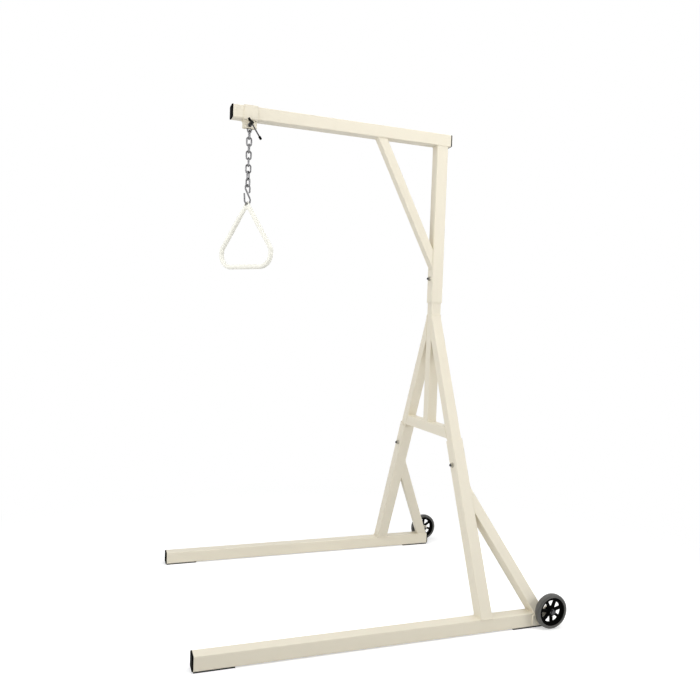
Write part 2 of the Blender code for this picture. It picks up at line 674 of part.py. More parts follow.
# hanger ring on the screw, between the ears
ring_low = screw_z - RING_DROP
ring_high = screw_z + SCREW_R + GAP + RING_WIRE_R
tip_centre = (0.0, ring_low + RING_TIP_R)
top_centre = (RING_HALF_W - RING_TOP_R, ring_high - RING_TOP_R)
reach = math.hypot(top_centre[0], top_centre[1] - tip_centre[1])
side_deg = math.degrees(math.atan2(top_centre[0], top_centre[1] - tip_centre[1])
                        + math.asin((RING_TOP_R - RING_TIP_R) / reach))
pairs = arc(tip_centre, RING_TIP_R, side_deg - 180, -side_deg, 8)
pairs += arc(top_centre, RING_TOP_R, -side_deg, 90, 5)
pairs += arc((-top_centre[0], top_centre[1]), RING_TOP_R, 90, 180 + side_deg, 5)
path, normal = flat_path(pairs, 0.0, clamp_x)
solid("hanger_ring", rod_path(path, normal, RING_WIRE_R, 8, True), True, ZINC, screw_at)

# chain: each link hangs on the bottom of the one above
link_in = LINK_PITCH + LINK_PLAY
bow = LINK_W / 2.0 - LINK_WIRE_R
run = link_in / 2.0 + LINK_WIRE_R - bow
seat = ring_low + RING_WIRE_R + LINK_PLAY - link_in / 2.0
hang = ring_low
for number, turn in enumerate(LINK_TURNS_DEG):
    middle = seat - LINK_PITCH * number
    pairs = arc((0.0, middle + run), bow, 0, 180, 8) + arc((0.0, middle - run), bow, 180, 360, 8)
    path, normal = flat_path(pairs, turn, clamp_x)
    solid("chain_link_" + str(number + 1), rod_path(path, normal, LINK_WIRE_R, 8, True), True, ZINC,
          Vector((clamp_x, 0, hang)))
    hang = middle - link_in / 2.0 - LINK_WIRE_R

# hook: an S bent from wire, its ends closed in on the chain and on the handle's eye
wire_top = hang + LINK_WIRE_R + LINK_PLAY + 2 * HOOK_WIRE_R
wire_low = wire_top - HOOK_H
up_c = (0.0, wire_top - HOOK_WIRE_R - HOOK_TOP_R)
low_c = (0.0, wire_low + HOOK_WIRE_R + HOOK_LOW_R)
span = up_c[1] - low_c[1]
cross_deg = math.degrees(math.asin((HOOK_TOP_R + HOOK_LOW_R) / span))
pairs = arc((0.0, up_c[1] - HOOK_TIP_L), HOOK_TOP_R, -38, 0, 4)
pairs += arc(up_c, HOOK_TOP_R, 0, 180 + cross_deg, 16)
pairs += arc(low_c, HOOK_LOW_R, cross_deg, -180, 16)
pairs += [(-HOOK_LOW_R - 0.0008, low_c[1] + 0.012), (-HOOK_LOW_R - 0.0025, low_c[1] + 0.022)]
path, normal = flat_path(pairs, HOOK_TURN_DEG, clamp_x)
solid("s_hook", rod_path(path, normal, HOOK_WIRE_R, 8, False), False, ZINC, Vector((clamp_x, 0, hang)))

# handle: a moulded triangle whose bar flattens to a drilled web in the top corner
eye_top = wire_low + 2 * HOOK_WIRE_R + HOOK_SEAT
handle_top = eye_top + EYE_TOP
hook_line = wire_low + HOOK_WIRE_R
slope_w = HANDLE_W / 2.0
slope_h = HANDLE_H - HANDLE_SHOULDER_H - HANDLE_APEX_R
slant = math.acos(HANDLE_APEX_R / math.hypot(slope_w, slope_h)) - math.atan2(slope_h, slope_w)
peak = handle_top + HANDLE_APEX_R * (1.0 / math.sin(slant) - 1.0)
handle_low = handle_top - HANDLE_H


def handle_loop(inset, apex_r):
    """Five-sided outline with round corners; the same count of points at any inset."""
    tip = peak - inset / math.sin(slant)
    half_w = HANDLE_W / 2.0 - inset
    shoulder = tip - half_w / math.tan(slant)
    points = [(0.0, tip), (-half_w, shoulder), (-half_w, handle_low + inset),
              (half_w, handle_low + inset), (half_w, shoulder)]
    radii = [apex_r, HANDLE_SHOULDER_R - inset, HANDLE_CORNER_R - inset,
             HANDLE_CORNER_R - inset, HANDLE_SHOULDER_R - inset]
    steps = 6
    pairs = rounded(points, radii, steps, True)
    left = [tuple(a + (b - a) * share for a, b in zip(pairs[steps], pairs[steps + 1]))
            for share in (0.08, 0.18, 0.32, 0.6)]
    right = [tuple(a + (b - a) * share for a, b in zip(pairs[-1], pairs[0]))
             for share in (0.4, 0.68, 0.82, 0.92)]
    return pairs[:steps + 1] + left + pairs[steps + 1:] + right


outer_path, normal = flat_path(handle_loop(0.0, HANDLE_APEX_R), HANDLE_TURN_DEG, clamp_x)
inner_path, normal = flat_path(handle_loop(HANDLE_BAR, HANDLE_CROTCH_R), HANDLE_TURN_DEG, clamp_x)
fade_from = peak - HANDLE_BAR / math.sin(slant)
rings = []
for out_p, in_p in zip(outer_path, inner_path):
    middle = (out_p + in_p) / 2.0
    share = min(max((fade_from - middle.z) / (2.5 * HANDLE_BAR), 0.0), 1.0)
    share = share * share * (3.0 - 2.0 * share)
    thick = HANDLE_APEX_T + (HANDLE_BAR - HANDLE_APEX_T) * share
    ring = []
    for j in range(12):
        angle = 2 * math.pi * (j + 0.5) / 12
        ring.append(middle + (out_p - in_p) / 2.0 * math.cos(angle) + normal * thick / 2.0 * math.sin(angle))
    rings.append(ring)
handle = solid("handle", rings, True, CREAM, Vector((clamp_x, 0, hook_line)))
cut(handle, hole("handle_eye", Vector((clamp_x, 0, eye_top - EYE_R)), normal, EYE_R, 0.03))
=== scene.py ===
# %% [markdown]
# # A freestanding trapeze
# A floor-standing trapeze helps someone sit up in bed. Two floor legs slide under the bed, an A-frame
# carries a column and a boom, and a triangular handle hangs from the boom on a chain.
# The solids of the frame, wheels, clamp, chain and handle come from the part's own model. This file makes
# each of them again in finer mesh, with what the solids keep coarse or leave out, such as rolled tube
# corners, round wire, threads and weld beads, and gives it its finish.

# %% Load the solids
import math

import bpy
from mathutils import Matrix, Vector


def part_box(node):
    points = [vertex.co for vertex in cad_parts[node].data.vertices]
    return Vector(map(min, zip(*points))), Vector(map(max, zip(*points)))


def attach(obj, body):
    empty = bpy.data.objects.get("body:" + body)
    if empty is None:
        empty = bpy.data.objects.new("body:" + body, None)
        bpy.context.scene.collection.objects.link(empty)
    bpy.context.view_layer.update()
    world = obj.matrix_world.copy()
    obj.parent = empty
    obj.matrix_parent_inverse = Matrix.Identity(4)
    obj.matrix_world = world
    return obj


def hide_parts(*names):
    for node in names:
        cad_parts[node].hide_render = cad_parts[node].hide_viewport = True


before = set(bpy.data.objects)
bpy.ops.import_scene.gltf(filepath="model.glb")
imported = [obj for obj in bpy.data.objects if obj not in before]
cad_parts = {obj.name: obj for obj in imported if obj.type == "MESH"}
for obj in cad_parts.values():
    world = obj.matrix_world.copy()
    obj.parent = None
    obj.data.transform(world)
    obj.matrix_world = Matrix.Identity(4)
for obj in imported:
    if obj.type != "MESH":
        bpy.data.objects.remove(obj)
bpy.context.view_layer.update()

# %% [markdown]
# ## The camera
# A product picture is made from a fixed spot. The place, aim, roll and lens below were found by fitting a
# pinhole camera to the edges of the frame, so that the render and the picture overlay. The aim is built
# from three directions, forward, right and up, because a roll is easier to read that way than as
# three angles.

# %% Camera
CAMERA_PLACE = Vector((-0.98651, -2.70104, 1.12531))
CAMERA_YAW = math.radians(19.80)
CAMERA_PITCH = math.radians(-1.89)
CAMERA_ROLL = math.radians(2.06)
FOCAL_PIXELS = 678.13
PICTURE_PIXELS = 700.0
SENSOR_MM = 36.0

forward = Vector((math.sin(CAMERA_YAW) * math.cos(CAMERA_PITCH),
                  math.cos(CAMERA_YAW) * math.cos(CAMERA_PITCH), math.sin(CAMERA_PITCH)))
level_right = Vector((math.cos(CAMERA_YAW), -math.sin(CAMERA_YAW), 0.0))
level_up = level_right.cross(forward)
right = level_right * math.cos(CAMERA_ROLL) + level_up * math.sin(CAMERA_ROLL)
up = level_up * math.cos(CAMERA_ROLL) - level_right * math.sin(CAMERA_ROLL)
turned = Matrix((right, up, -forward)).transposed().to_4x4()
camera_data = bpy.data.cameras.new("picture_camera")
camera_data.sensor_width = SENSOR_MM
camera_data.lens = FOCAL_PIXELS * SENSOR_MM / PICTURE_PIXELS
camera = bpy.data.objects.new("picture_camera", camera_data)
bpy.context.scene.collection.objects.link(camera)
camera.matrix_world = Matrix.Translation(CAMERA_PLACE) @ turned
bpy.context.scene.camera = camera
print("lens:", round(camera_data.lens, 2), "mm")

# %% [markdown]
# ## Nodes
# A world or a finish is a dozen small nodes. One helper makes a node and fills its inputs in one call, with
# a value or with what another node gives. A second one does sums, and a third tells the rays that show a
# surface from the rays that light it.

# %% Node helpers


def add_node(tree, kind, inputs):
    """A new node whose inputs are given values or other nodes' outputs."""
    node = tree.nodes.new("ShaderNode" + kind)
    if kind == "Mix":
        node.data_type = "RGBA"
    for socket, value in inputs.items():
        if isinstance(value, bpy.types.NodeSocket):
            tree.links.new(value, node.inputs[socket])
        else:
            node.inputs[socket].default_value = value
    return node


def math_node(tree, operation, first, second):
    """The outcome of an operation on two inputs."""
    node = add_node(tree, "Math", {0: first, 1: second})
    node.operation = operation
    return node.outputs[0]


def seen_directly(tree):
    """A value that is 1 for camera, glossy and transmission rays, and 0 for the rays that light things."""
    ray = add_node(tree, "LightPath", {}).outputs
    seen = math_node(tree, "MAXIMUM", ray["Is Camera Ray"], ray["Is Transmission Ray"])
    return math_node(tree, "MAXIMUM", seen, ray["Is Glossy Ray"])


# %% [markdown]
# ## The room
# The picture was taken on white. The world is white to the camera, and to glossy and transmission rays, so
# that zinc and plastic mirror the same white room. Only the side of the room behind the photographer is
# dark, as it is in a studio, and what faces that way mirrors it: this is what draws the wire of the chain
# as dark lines and keeps the black plugs black. To every other ray the world is a plain, dimmer sky that
# only fills the shadows.

# %% World
SKY_COLOR, SKY_LEVEL = (0.97, 0.985, 1.0, 1.0), 0.30
WHITE_WALL, DARK_WALL = (1.0, 1.0, 1.0, 1.0), (0.03, 0.03, 0.03, 1.0)
WALL_DARKENS_AT, WALL_DARK_AT = 0.15, -0.35

scene = bpy.context.scene
scene.view_settings.view_transform = "Standard"
world = bpy.data.worlds.new("white_room")
scene.world = world
world.use_nodes = True
room = world.node_tree
heading = add_node(room, "TexCoord", {})
parts = add_node(room, "SeparateXYZ", {"Vector": heading.outputs["Generated"]})
backward = add_node(room, "MapRange", {"From Min": WALL_DARKENS_AT, "From Max": WALL_DARK_AT,
                                       "Value": parts.outputs["Y"]})
backward.interpolation_type = "SMOOTHSTEP"
mirrored = add_node(room, "LightPath", {})
dark_side = math_node(room, "MULTIPLY", backward.outputs["Result"], mirrored.outputs["Is Glossy Ray"])
walls = add_node(room, "Mix", {"A": WHITE_WALL, "B": DARK_WALL, "Factor": dark_side})
white = add_node(room, "Background", {"Strength": 1.0, "Color": walls.outputs["Result"]})
sky = room.nodes["Background"]
sky.inputs["Color"].default_value = SKY_COLOR
sky.inputs["Strength"].default_value = SKY_LEVEL
pick = add_node(room, "MixShader", {"Fac": seen_directly(room), 1: sky.outputs[0], 2: white.outputs[0]})
room.links.new(pick.outputs[0], room.nodes["World Output"].inputs["Surface"])
print("sky level:", SKY_LEVEL)

# %% [markdown]
# The floor has to look white without being lit harder. Under the object it is an ordinary pale surface that
# takes the shadow, with a little glow that only the camera sees. Further out, where a lamp's light falls
# off, it turns by distance into plain white glow, so no grey band shows at the horizon.

# %% Floor
FLOOR_HALF = 30.0
FLOOR_COLOR, FLOOR_GLOW = (0.82, 0.82, 0.82, 1.0), 0.45
WHITENS_AT, WHITE_AT = 0.95, 2.1


def new_material(name):
    """A node material and its Principled shader."""
    material = bpy.data.materials.new(name)
    material.use_nodes = True
    return material, material.node_tree, material.node_tree.nodes["Principled BSDF"]


floor_material, tree, shader = new_material("white_floor")
shader.inputs["Base Color"].default_value = FLOOR_COLOR
shader.inputs["Roughness"].default_value = 0.9
shader.inputs["Specular IOR Level"].default_value = 0.0
glow = add_node(tree, "Emission", {"Strength": FLOOR_GLOW})
lit = add_node(tree, "AddShader", {0: shader.outputs[0], 1: glow.outputs[0]})
far_white = add_node(tree, "Emission", {"Strength": 1.0})
place = add_node(tree, "TexCoord", {})
distance = add_node(tree, "VectorMath", {0: place.outputs["Object"]})
distance.operation = "LENGTH"
fade = add_node(tree, "MapRange", {"From Min": WHITENS_AT, "From Max": WHITE_AT,
                                   "Value": distance.outputs["Value"]})
fade.interpolation_type = "SMOOTHSTEP"
outer = add_node(tree, "MixShader", {"Fac": fade.outputs["Result"], 1: lit.outputs[0],
                                     2: far_white.outputs[0]})
whole = add_node(tree, "MixShader", {"Fac": seen_directly(tree), 1: shader.outputs[0],
                                     2: outer.outputs[0]})
tree.links.new(whole.outputs[0], tree.nodes["Material Output"].inputs["Surface"])

floor_mesh = bpy.data.meshes.new("floor")
floor_mesh.from_pydata([(x * FLOOR_HALF, y * FLOOR_HALF, 0.0)
                        for x, y in ((-1, -1), (1, -1), (1, 1), (-1, 1))], [], [(0, 1, 2, 3)])
floor_mesh.materials.append(floor_material)
floor = bpy.data.objects.new("floor", floor_mesh)
scene.collection.objects.link(floor)
print("floor:", 2 * FLOOR_HALF, "m square, white from", WHITE_AT, "m out")

# %% [markdown]
# Four soft rectangles light the object: a broad one overhead, a weaker one high in front, one on the left
# and one at the front right. Together they leave no hard shadow. They light the boom and the middle of the
# frame most and let the near leg's side fall darker, as in the picture.

# %% Lamps
LAMP_AIM = (0.2, 0.0, 1.0)


def softbox(name, place, aim, width, height, watts):
    """A soft rectangular lamp that the camera doesn't see."""
    data = bpy.data.lights.new(name, "AREA")
    data.shape = "RECTANGLE"
    data.size = width
    data.size_y = height
    data.energy = watts
    lamp = bpy.data.objects.new(name, data)
    scene.collection.objects.link(lamp)
    lamp.location = place
    lamp.rotation_mode = "QUATERNION"
    lamp.rotation_quaternion = (Vector(aim) - Vector(place)).to_track_quat("-Z", "Y")
    lamp.visible_camera = False


softbox("overhead_lamp", (0.1, 0.3, 3.4), (0.0, 0.1, 0.0), 3.0, 2.6, 34.0)
softbox("front_lamp", (0.2, -1.7, 2.6), LAMP_AIM, 1.8, 1.2, 16.0)
softbox("left_lamp", (-2.8, -0.6, 1.8), LAMP_AIM, 1.6, 1.8, 40.0)
softbox("right_lamp", (2.4, -2.2, 1.8), LAMP_AIM, 1.4, 1.6, 33.0)
print("lamps:", len(bpy.data.lights))

# %% [markdown]
# ## Finishes
# Every finish is made of nodes, so it has detail at any distance and needs no picture files. A soft noise
# varies the tone and the gloss, and a fine noise bumps the skin. Object space places both, because each
# piece keeps its place in its vertices and carries its grain along when it moves.

# %% The common finish
NOISE_LOW, NOISE_HIGH = 0.3, 0.7


def finish(name, color, roughness, tone, grain_scale, grain_mm, metallic=0.0, tone_scale=9.0,
           rough_spread=0.06, specular=0.5):
    """A base colour with soft variation, uneven gloss and a fine skin."""
    material, tree, shader = new_material(name)
    shader.inputs["Metallic"].default_value = metallic
    shader.inputs["Specular IOR Level"].default_value = specular
    where = add_node(tree, "TexCoord", {}).outputs["Object"]
    soft = add_node(tree, "TexNoise", {"Scale": tone_scale, "Detail": 4.0, "Vector": where}).outputs["Fac"]
    darker = (*[c * (1.0 - tone) for c in color], 1.0)
    paler = (*[min(c * (1.0 + tone), 1.0) for c in color], 1.0)
    colors = add_node(tree, "Mix", {"A": darker, "B": paler, "Factor": soft})
    tree.links.new(colors.outputs["Result"], shader.inputs["Base Color"])
    gloss = add_node(tree, "MapRange", {"From Min": NOISE_LOW, "From Max": NOISE_HIGH, "Value": soft,
                                        "To Min": roughness - rough_spread,
                                        "To Max": roughness + rough_spread})
    tree.links.new(gloss.outputs["Result"], shader.inputs["Roughness"])
    grain = add_node(tree, "TexNoise", {"Scale": grain_scale, "Detail": 2.0, "Vector": where})
    skin_bump = add_node(tree, "Bump", {"Strength": 1.0, "Distance": grain_mm / 1000.0,
                                        "Height": grain.outputs["Fac"]})
    tree.links.new(skin_bump.outputs["Normal"], shader.inputs["Normal"])
    return material


# %% [markdown]
# The frame is sprayed with cream powder paint and baked. The coat is satin and flows into a faint orange
# peel. The handle is moulded in a paler cream plastic. Plugs, hubs and bar caps are dull black plastic, the
# pads are black rubber and the tyres grey rubber. Ring, chain and hook are zinc plate, a mirror that a
# slightly cloudy gloss breaks up; its base colour is kept low, a painted dark reflection of the studio.
# The flange nuts have a brighter plate. The bolts and the sliding bar take a much darker copy of the zinc,
# which is painted shade and painted dark reflection. The clamp's T-screw is blackened steel.

# %% Finishes of this object
cream_paint = finish("cream_powder_coat", (0.83, 0.768, 0.625), 0.42, tone=0.02,
                     grain_scale=420.0, grain_mm=0.035)
cream_plastic = finish("cream_moulded_plastic", (0.90, 0.885, 0.80), 0.4, tone=0.01,
                       grain_scale=260.0, grain_mm=0.01, specular=0.3)
black_plastic = finish("black_moulded_plastic", (0.003, 0.003, 0.003), 0.7, tone=0.25,
                       grain_scale=1500.0, grain_mm=0.01, specular=0.02)
pad_rubber = finish("black_pad_rubber", (0.020, 0.019, 0.018), 0.78, tone=0.3,
                    grain_scale=900.0, grain_mm=0.06)
tyre_rubber = finish("grey_tyre_rubber", (0.083, 0.081, 0.074), 0.42, tone=0.12,
                     grain_scale=800.0, grain_mm=0.03)
# Zinc plate whose base colour is kept low: a painted dark reflection of the studio round it, on top of what
# the world mirrors.
zinc_plate = finish("zinc_plate_painted_dark_reflection", (0.22, 0.22, 0.225), 0.2, tone=0.2,
                    grain_scale=1400.0, grain_mm=0.02, metallic=1.0, tone_scale=160.0, rough_spread=0.1)
bright_zinc = finish("bright_zinc_plate", (0.42, 0.40, 0.345), 0.3, tone=0.1,
                     grain_scale=1400.0, grain_mm=0.02, metallic=1.0, tone_scale=160.0, rough_spread=0.1)
# A much darker copy of the zinc for the bolts and the sliding bar: painted shade and painted dark
# reflection.
zinc_painted_shade = finish("zinc_plate_painted_shade", (0.075, 0.075, 0.08), 0.25, tone=0.2,
                   grain_scale=1400.0, grain_mm=0.02, metallic=1.0, tone_scale=160.0, rough_spread=0.08)
black_steel = finish("blackened_steel", (0.007, 0.007, 0.006), 0.45, tone=0.3,
                     grain_scale=1200.0, grain_mm=0.03, specular=0.2)

# %% [markdown]
# ## Making pieces
# Nearly everything here is drawn, turned or bent, so it is one section carried along a path. One helper
# skins a mesh over such sections, smooths it, keeps the real corners sharp, hangs the piece on the empty of
# the body it rides on and hides the solids it stands for.

# %% Skin


def ring_faces(rings, count, loop=False, first=0):
    """Faces over rings of equally many points, closed into a loop or with a face at each end."""
    faces = []
    for i in range(rings if loop else rings - 1):
        a = first + i * count
        b = first + (i + 1) % rings * count
        faces += [(a + j, a + (j + 1) % count, b + (j + 1) % count, b + j) for j in range(count)]
    if not loop:
        last = first + (rings - 1) * count
        faces.append(tuple(range(first + count - 1, first - 1, -1)))
        faces.append(tuple(range(last, last + count)))
    return faces


def skin(name, rings, material, body, stands_for=(), *, sharp_deg, loop=False):
    """One closed mesh over rings of equally many points."""
    count = len(rings[0])
    mesh = bpy.data.meshes.new(name)
    mesh.from_pydata([tuple(p) for ring in rings for p in ring], [], ring_faces(len(rings), count, loop))
    middle = sum((Vector(p) for p in rings[0]), Vector()) / count
    volume = 0.0
    for face in mesh.polygons:
        first = mesh.vertices[face.vertices[0]].co - middle
        for i in range(1, len(face.vertices) - 1):
            second = mesh.vertices[face.vertices[i]].co - middle
            third = mesh.vertices[face.vertices[i + 1]].co - middle
            volume += first.dot(second.cross(third))
    if volume < 0.0:
        mesh.flip_normals()
    mesh.shade_smooth()
    mesh.set_sharp_from_angle(angle=math.radians(sharp_deg))
    mesh.materials.append(material)
    piece = bpy.data.objects.new(name, mesh)
    scene.collection.objects.link(piece)
    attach(piece, body)
    if stands_for:
        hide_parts(*stands_for)
    return piece


# %% [markdown]
# ## Rolled square tube
# Square tube is rolled from strip, so its corners are round and its flats are flat. Smooth shading would
# make the flats look swollen, because it blends each flat into its corners. A second line of points just
# inside every flat stops that, and the blend stays within a millimetre of the corner.

# %% Tube section
MAIN_TUBE = 0.0508
SLIP_TUBE = 0.04445
BRACE_TUBE = 0.0381
WALL = 0.0021
CORNER_R = 0.0036
BREAK = 0.0004
X_AXIS = Vector((1, 0, 0))
Y_AXIS = Vector((0, 1, 0))
Z_AXIS = Vector((0, 0, 1))


def square_section(half, radius, margin=0.0010, steps=6):
    """A rounded square as pairs, with a point on each flat beside each corner."""
    pairs = []
    for quarter_turn in range(4):
        turn = quarter_turn * math.pi / 2.0
        cx = math.copysign(half - radius, math.cos(turn + math.pi / 4.0))
        cy = math.copysign(half - radius, math.sin(turn + math.pi / 4.0))
        arc_pairs = [(cx + radius * math.cos(turn + i * math.pi / 2.0 / steps),
                      cy + radius * math.sin(turn + i * math.pi / 2.0 / steps)) for i in range(steps + 1)]
        first, last = arc_pairs[0], arc_pairs[-1]
        pairs.append((first[0] + margin * math.sin(turn), first[1] - margin * math.cos(turn)))
        pairs += arc_pairs
        pairs.append((last[0] - margin * math.cos(turn), last[1] - margin * math.sin(turn)))
    return pairs


def slide_to(pairs, base, u, v, direction, plane):
    """Carries a section along a tube to an end plane."""
    point, normal = plane
    ring = []
    for a, b in pairs:
        start = base + u * a + v * b
        ring.append(start + direction * ((point - start).dot(normal) / direction.dot(normal)))
    return ring


def rolled_tube(name, base, direction, side, size, start, end):
    """Square tube with round corners and deburred ends, each end cut to its own plane."""
    direction = direction.normalized()
    u = side.normalized()
    v = direction.cross(u)
    half = size / 2.0
    inner_r = CORNER_R - WALL
    outer = square_section(half, CORNER_R)
    broken = square_section(half - BREAK, CORNER_R - BREAK)
    inner = square_section(half - WALL, inner_r)
    opened = square_section(half - WALL + BREAK, inner_r + BREAK)
    step = direction * BREAK
    starts = [(start[0] + step, start[1]), start]
    ends = [(end[0] - step, end[1]), end]
    order = [(broken, starts[1]), (outer, starts[0]), (outer, ends[0]), (broken, ends[1]),
             (opened, ends[1]), (inner, ends[0]), (inner, starts[0]), (opened, starts[1])]
    rings = [slide_to(pairs, base, u, v, direction, plane) for pairs, plane in order]
    return skin(name + "_rolled", rings, cream_paint, "frame", (name,), loop=True, sharp_deg=32.0)


# %% [markdown]
# ## Weld beads
# Every fixed joint of the frame is welded and then painted. A bead is a fat line laid round the joint in
# small overlapping puddles, so its width pulses every few millimetres. It is skinned along the joint's
# outline, half sunk into both tubes, and takes the same paint. An open bead tapers at its ends.

# %% Bead helpers
BEAD_R, BEAD_PITCH, BEAD_RIPPLE, PUDDLE_LEAD = 0.0021, 0.0030, 0.16, 0.35
BEAD_TIP, BEAD_GROWTH = 0.35, 0.22
POINTS_ON_PUDDLE = 5.0
BEAD_TURNS = [math.pi * j / 4.0 for j in range(8)]
bead_lengths = []


def even_points(points, closed, step):
    """The same line with its points evenly spaced, and its length."""
    line = [Vector(p) for p in points]
    if closed:
        line.append(line[0].copy())
    spans = [(b - a).length for a, b in zip(line, line[1:])]
    total = sum(spans)
    count = max(round(total / step), 8)
    placed = []
    index, passed = 0, 0.0
    for i in range(count if closed else count + 1):
        target = total * i / count
        while index < len(spans) - 1 and passed + spans[index] < target:
            passed += spans[index]
            index += 1
        share = (target - passed) / spans[index] if spans[index] > 0.0 else 0.0
        placed.append(line[index].lerp(line[index + 1], min(max(share, 0.0), 1.0)))
    return placed, total


def weld_bead(name, outline, normal, closed=True):
    """A rippled bead round a flat outline."""
    points, total = even_points(outline, closed, BEAD_PITCH / POINTS_ON_PUDDLE)
    puddles = max(round(total / BEAD_PITCH), 1)
    normal = normal.normalized()
    rings = []
    last = len(points) - 1
    for i, point in enumerate(points):
        before = points[i - 1] if closed or i > 0 else point
        after = points[(i + 1) % len(points)] if closed or i < last else point
        across = (after - before).normalized().cross(normal)
        phase = (i / len(points) * puddles) % 1.0
        crown = math.sqrt(max(1.0 - (phase * (1.0 + PUDDLE_LEAD) - PUDDLE_LEAD) ** 2, 0.0))
        swell = BEAD_R * (1.0 - BEAD_RIPPLE + BEAD_RIPPLE * crown)
        if not closed:
            swell *= min(1.0, BEAD_TIP + BEAD_GROWTH * min(i, last - i))
        rings.append([point + across * swell * math.cos(turn) + normal * swell * math.sin(turn)
                      for turn in BEAD_TURNS])
    bead_lengths.append(total)
    skin(name, rings, cream_paint, "frame", loop=closed, sharp_deg=75.0)


def tube_weld(name, base, direction, side, size, plane):
    """A bead round the outline that a tube leaves on the plane it is cut to."""
    outline = square_section(size / 2.0, CORNER_R)
    weld_bead(name, slide_to(outline, base, side, direction.cross(side), direction, plane), plane[1])


# %% [markdown]
# ## The frame's tubes
# The sizes below are the frame's own, in metres. Each floor leg carries a leaning upright. A slanted tube
# slides down into each upright and both meet at the centre post, which goes up into the column. The column
# carries the boom, and a thinner brace props it. GAP is the hair's breadth that keeps two solids from
# sharing a face.

# %% Frame sizes
SIDES = (("near", -1), ("far", 1))
HEIGHT = 1.9812
LEG_Y = 0.511
LEG_FRONT, LEG_REAR = 1.074, 0.254
BOOM_FRONT, BOOM_REAR = 0.915, 0.038
BRACE_LOW_Z, BRACE_REACH = 1.4367, 0.2803
PAD_T = 0.005
GAP = 0.0003
HALF = MAIN_TUBE / 2.0
SLIP = SLIP_TUBE / 2.0
LEG_MIDDLE = PAD_T + HALF
LEG_TOP = PAD_T + MAIN_TUBE
BOOM_UNDER = HEIGHT - MAIN_TUBE
APEX_Z, UPRIGHT_TOP_Z, CROSSBAR_Z, COLUMN_FOOT_Z = 1.1914, 0.6786, 0.702, 1.2473
SLIP_IN = POST_IN = 0.150
BOLT_BACK = 0.105
COLUMN_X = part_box("column")[0][0] + HALF
LEAN = math.atan(LEG_Y / (APEX_Z - LEG_TOP))
print("column axis at x =", round(COLUMN_X, 5), "uprights lean", round(math.degrees(LEAN), 2), "degrees")

# %% Floor legs, uprights and braces
REAR_BRACE = math.radians(25.2)
joint_bolts = {}
for label, side in SIDES:
    y = side * LEG_Y
    front = Vector((COLUMN_X - LEG_FRONT, y, LEG_MIDDLE))
    rear = Vector((COLUMN_X + LEG_REAR, y, LEG_MIDDLE))
    rolled_tube(label + "_leg_tube", front, X_AXIS, Y_AXIS, MAIN_TUBE, (front, X_AXIS), (rear, X_AXIS))

    lean = Vector((0.0, -side * math.sin(LEAN), math.cos(LEAN)))
    foot = Vector((COLUMN_X, y, LEG_TOP))
    top = foot + lean * ((UPRIGHT_TOP_Z - LEG_TOP) / lean.z)
    leg_face = (Vector((0, 0, LEG_TOP + GAP)), Z_AXIS)
    rolled_tube(label + "_upright", foot, lean, X_AXIS, MAIN_TUBE, leg_face, (top, lean))
    joint_bolts[label + "_joint"] = top - lean * BOLT_BACK
    slip_end = (top - lean * SLIP_IN, lean)
    post_face = (Vector((0, side * (SLIP + GAP), 0)), Y_AXIS)
    rolled_tube(label + "_slanted_tube", top, lean, X_AXIS, SLIP_TUBE, slip_end, post_face)

    rise = (lean * math.cos(REAR_BRACE) - X_AXIS * math.sin(REAR_BRACE)).normalized()
    flat = Vector((0.0, side * math.cos(LEAN), math.sin(LEAN)))
    brace_foot = Vector((COLUMN_X + LEG_REAR - SLIP / math.cos(REAR_BRACE), y, LEG_TOP))
    upright_face = (Vector((COLUMN_X + HALF + GAP, 0, 0)), X_AXIS)
    rolled_tube(label + "_rear_brace", brace_foot, rise, flat, SLIP_TUBE, leg_face, upright_face)

    tube_weld(label + "_upright_foot_weld", foot, lean, X_AXIS, MAIN_TUBE, leg_face)
    tube_weld(label + "_brace_foot_weld", brace_foot, rise, flat, SLIP_TUBE, leg_face)
    tube_weld(label + "_brace_top_weld", brace_foot, rise, flat, SLIP_TUBE, upright_face)
    tube_weld(label + "_slanted_top_weld", top, lean, X_AXIS, SLIP_TUBE, post_face)
print("joint bolts at height", round(joint_bolts["near_joint"].z, 4))

# %% Crossbar and centre post
bar_centre = Vector((COLUMN_X, 0, CROSSBAR_Z))
bar_ends = []
for side in (-1, 1):
    outward = Vector((0, side * math.cos(LEAN), math.sin(LEAN)))
    bar_ends.append((Vector((COLUMN_X, side * LEG_Y, LEG_TOP)) - outward * (SLIP + GAP), outward))
rolled_tube("crossbar", bar_centre, Y_AXIS, X_AXIS, SLIP_TUBE, bar_ends[0], bar_ends[1])
for label, end in zip(("near", "far"), bar_ends):
    tube_weld(label + "_crossbar_weld", bar_centre, Y_AXIS, X_AXIS, SLIP_TUBE, end)

post_foot = Vector((COLUMN_X, 0, CROSSBAR_Z + SLIP + GAP))
post_top = Vector((COLUMN_X, 0, COLUMN_FOOT_Z + POST_IN))
rolled_tube("centre_post", post_foot, Z_AXIS, X_AXIS, SLIP_TUBE, (post_foot, Z_AXIS), (post_top, Z_AXIS))
tube_weld("post_foot_weld", post_foot, Z_AXIS, X_AXIS, SLIP_TUBE, (post_foot, Z_AXIS))
print("centre post:", round(post_top.z - post_foot.z, 4), "m")

# %% Column, boom and boom brace
column_foot = Vector((COLUMN_X, 0, COLUMN_FOOT_Z))
column_head = Vector((COLUMN_X, 0, BOOM_UNDER - GAP))
rolled_tube("column", column_foot, Z_AXIS, X_AXIS, MAIN_TUBE, (column_foot, Z_AXIS), (column_head, Z_AXIS))
tube_weld("column_head_weld", column_head, Z_AXIS, X_AXIS, MAIN_TUBE, (column_head, Z_AXIS))
joint_bolts["column"] = column_foot + Z_AXIS * BOLT_BACK

boom_front = Vector((COLUMN_X - BOOM_FRONT, 0, BOOM_UNDER + HALF))
boom_rear = Vector((COLUMN_X + BOOM_REAR, 0, BOOM_UNDER + HALF))
rolled_tube("boom", boom_front, X_AXIS, Y_AXIS, MAIN_TUBE, (boom_front, X_AXIS), (boom_rear, X_AXIS))

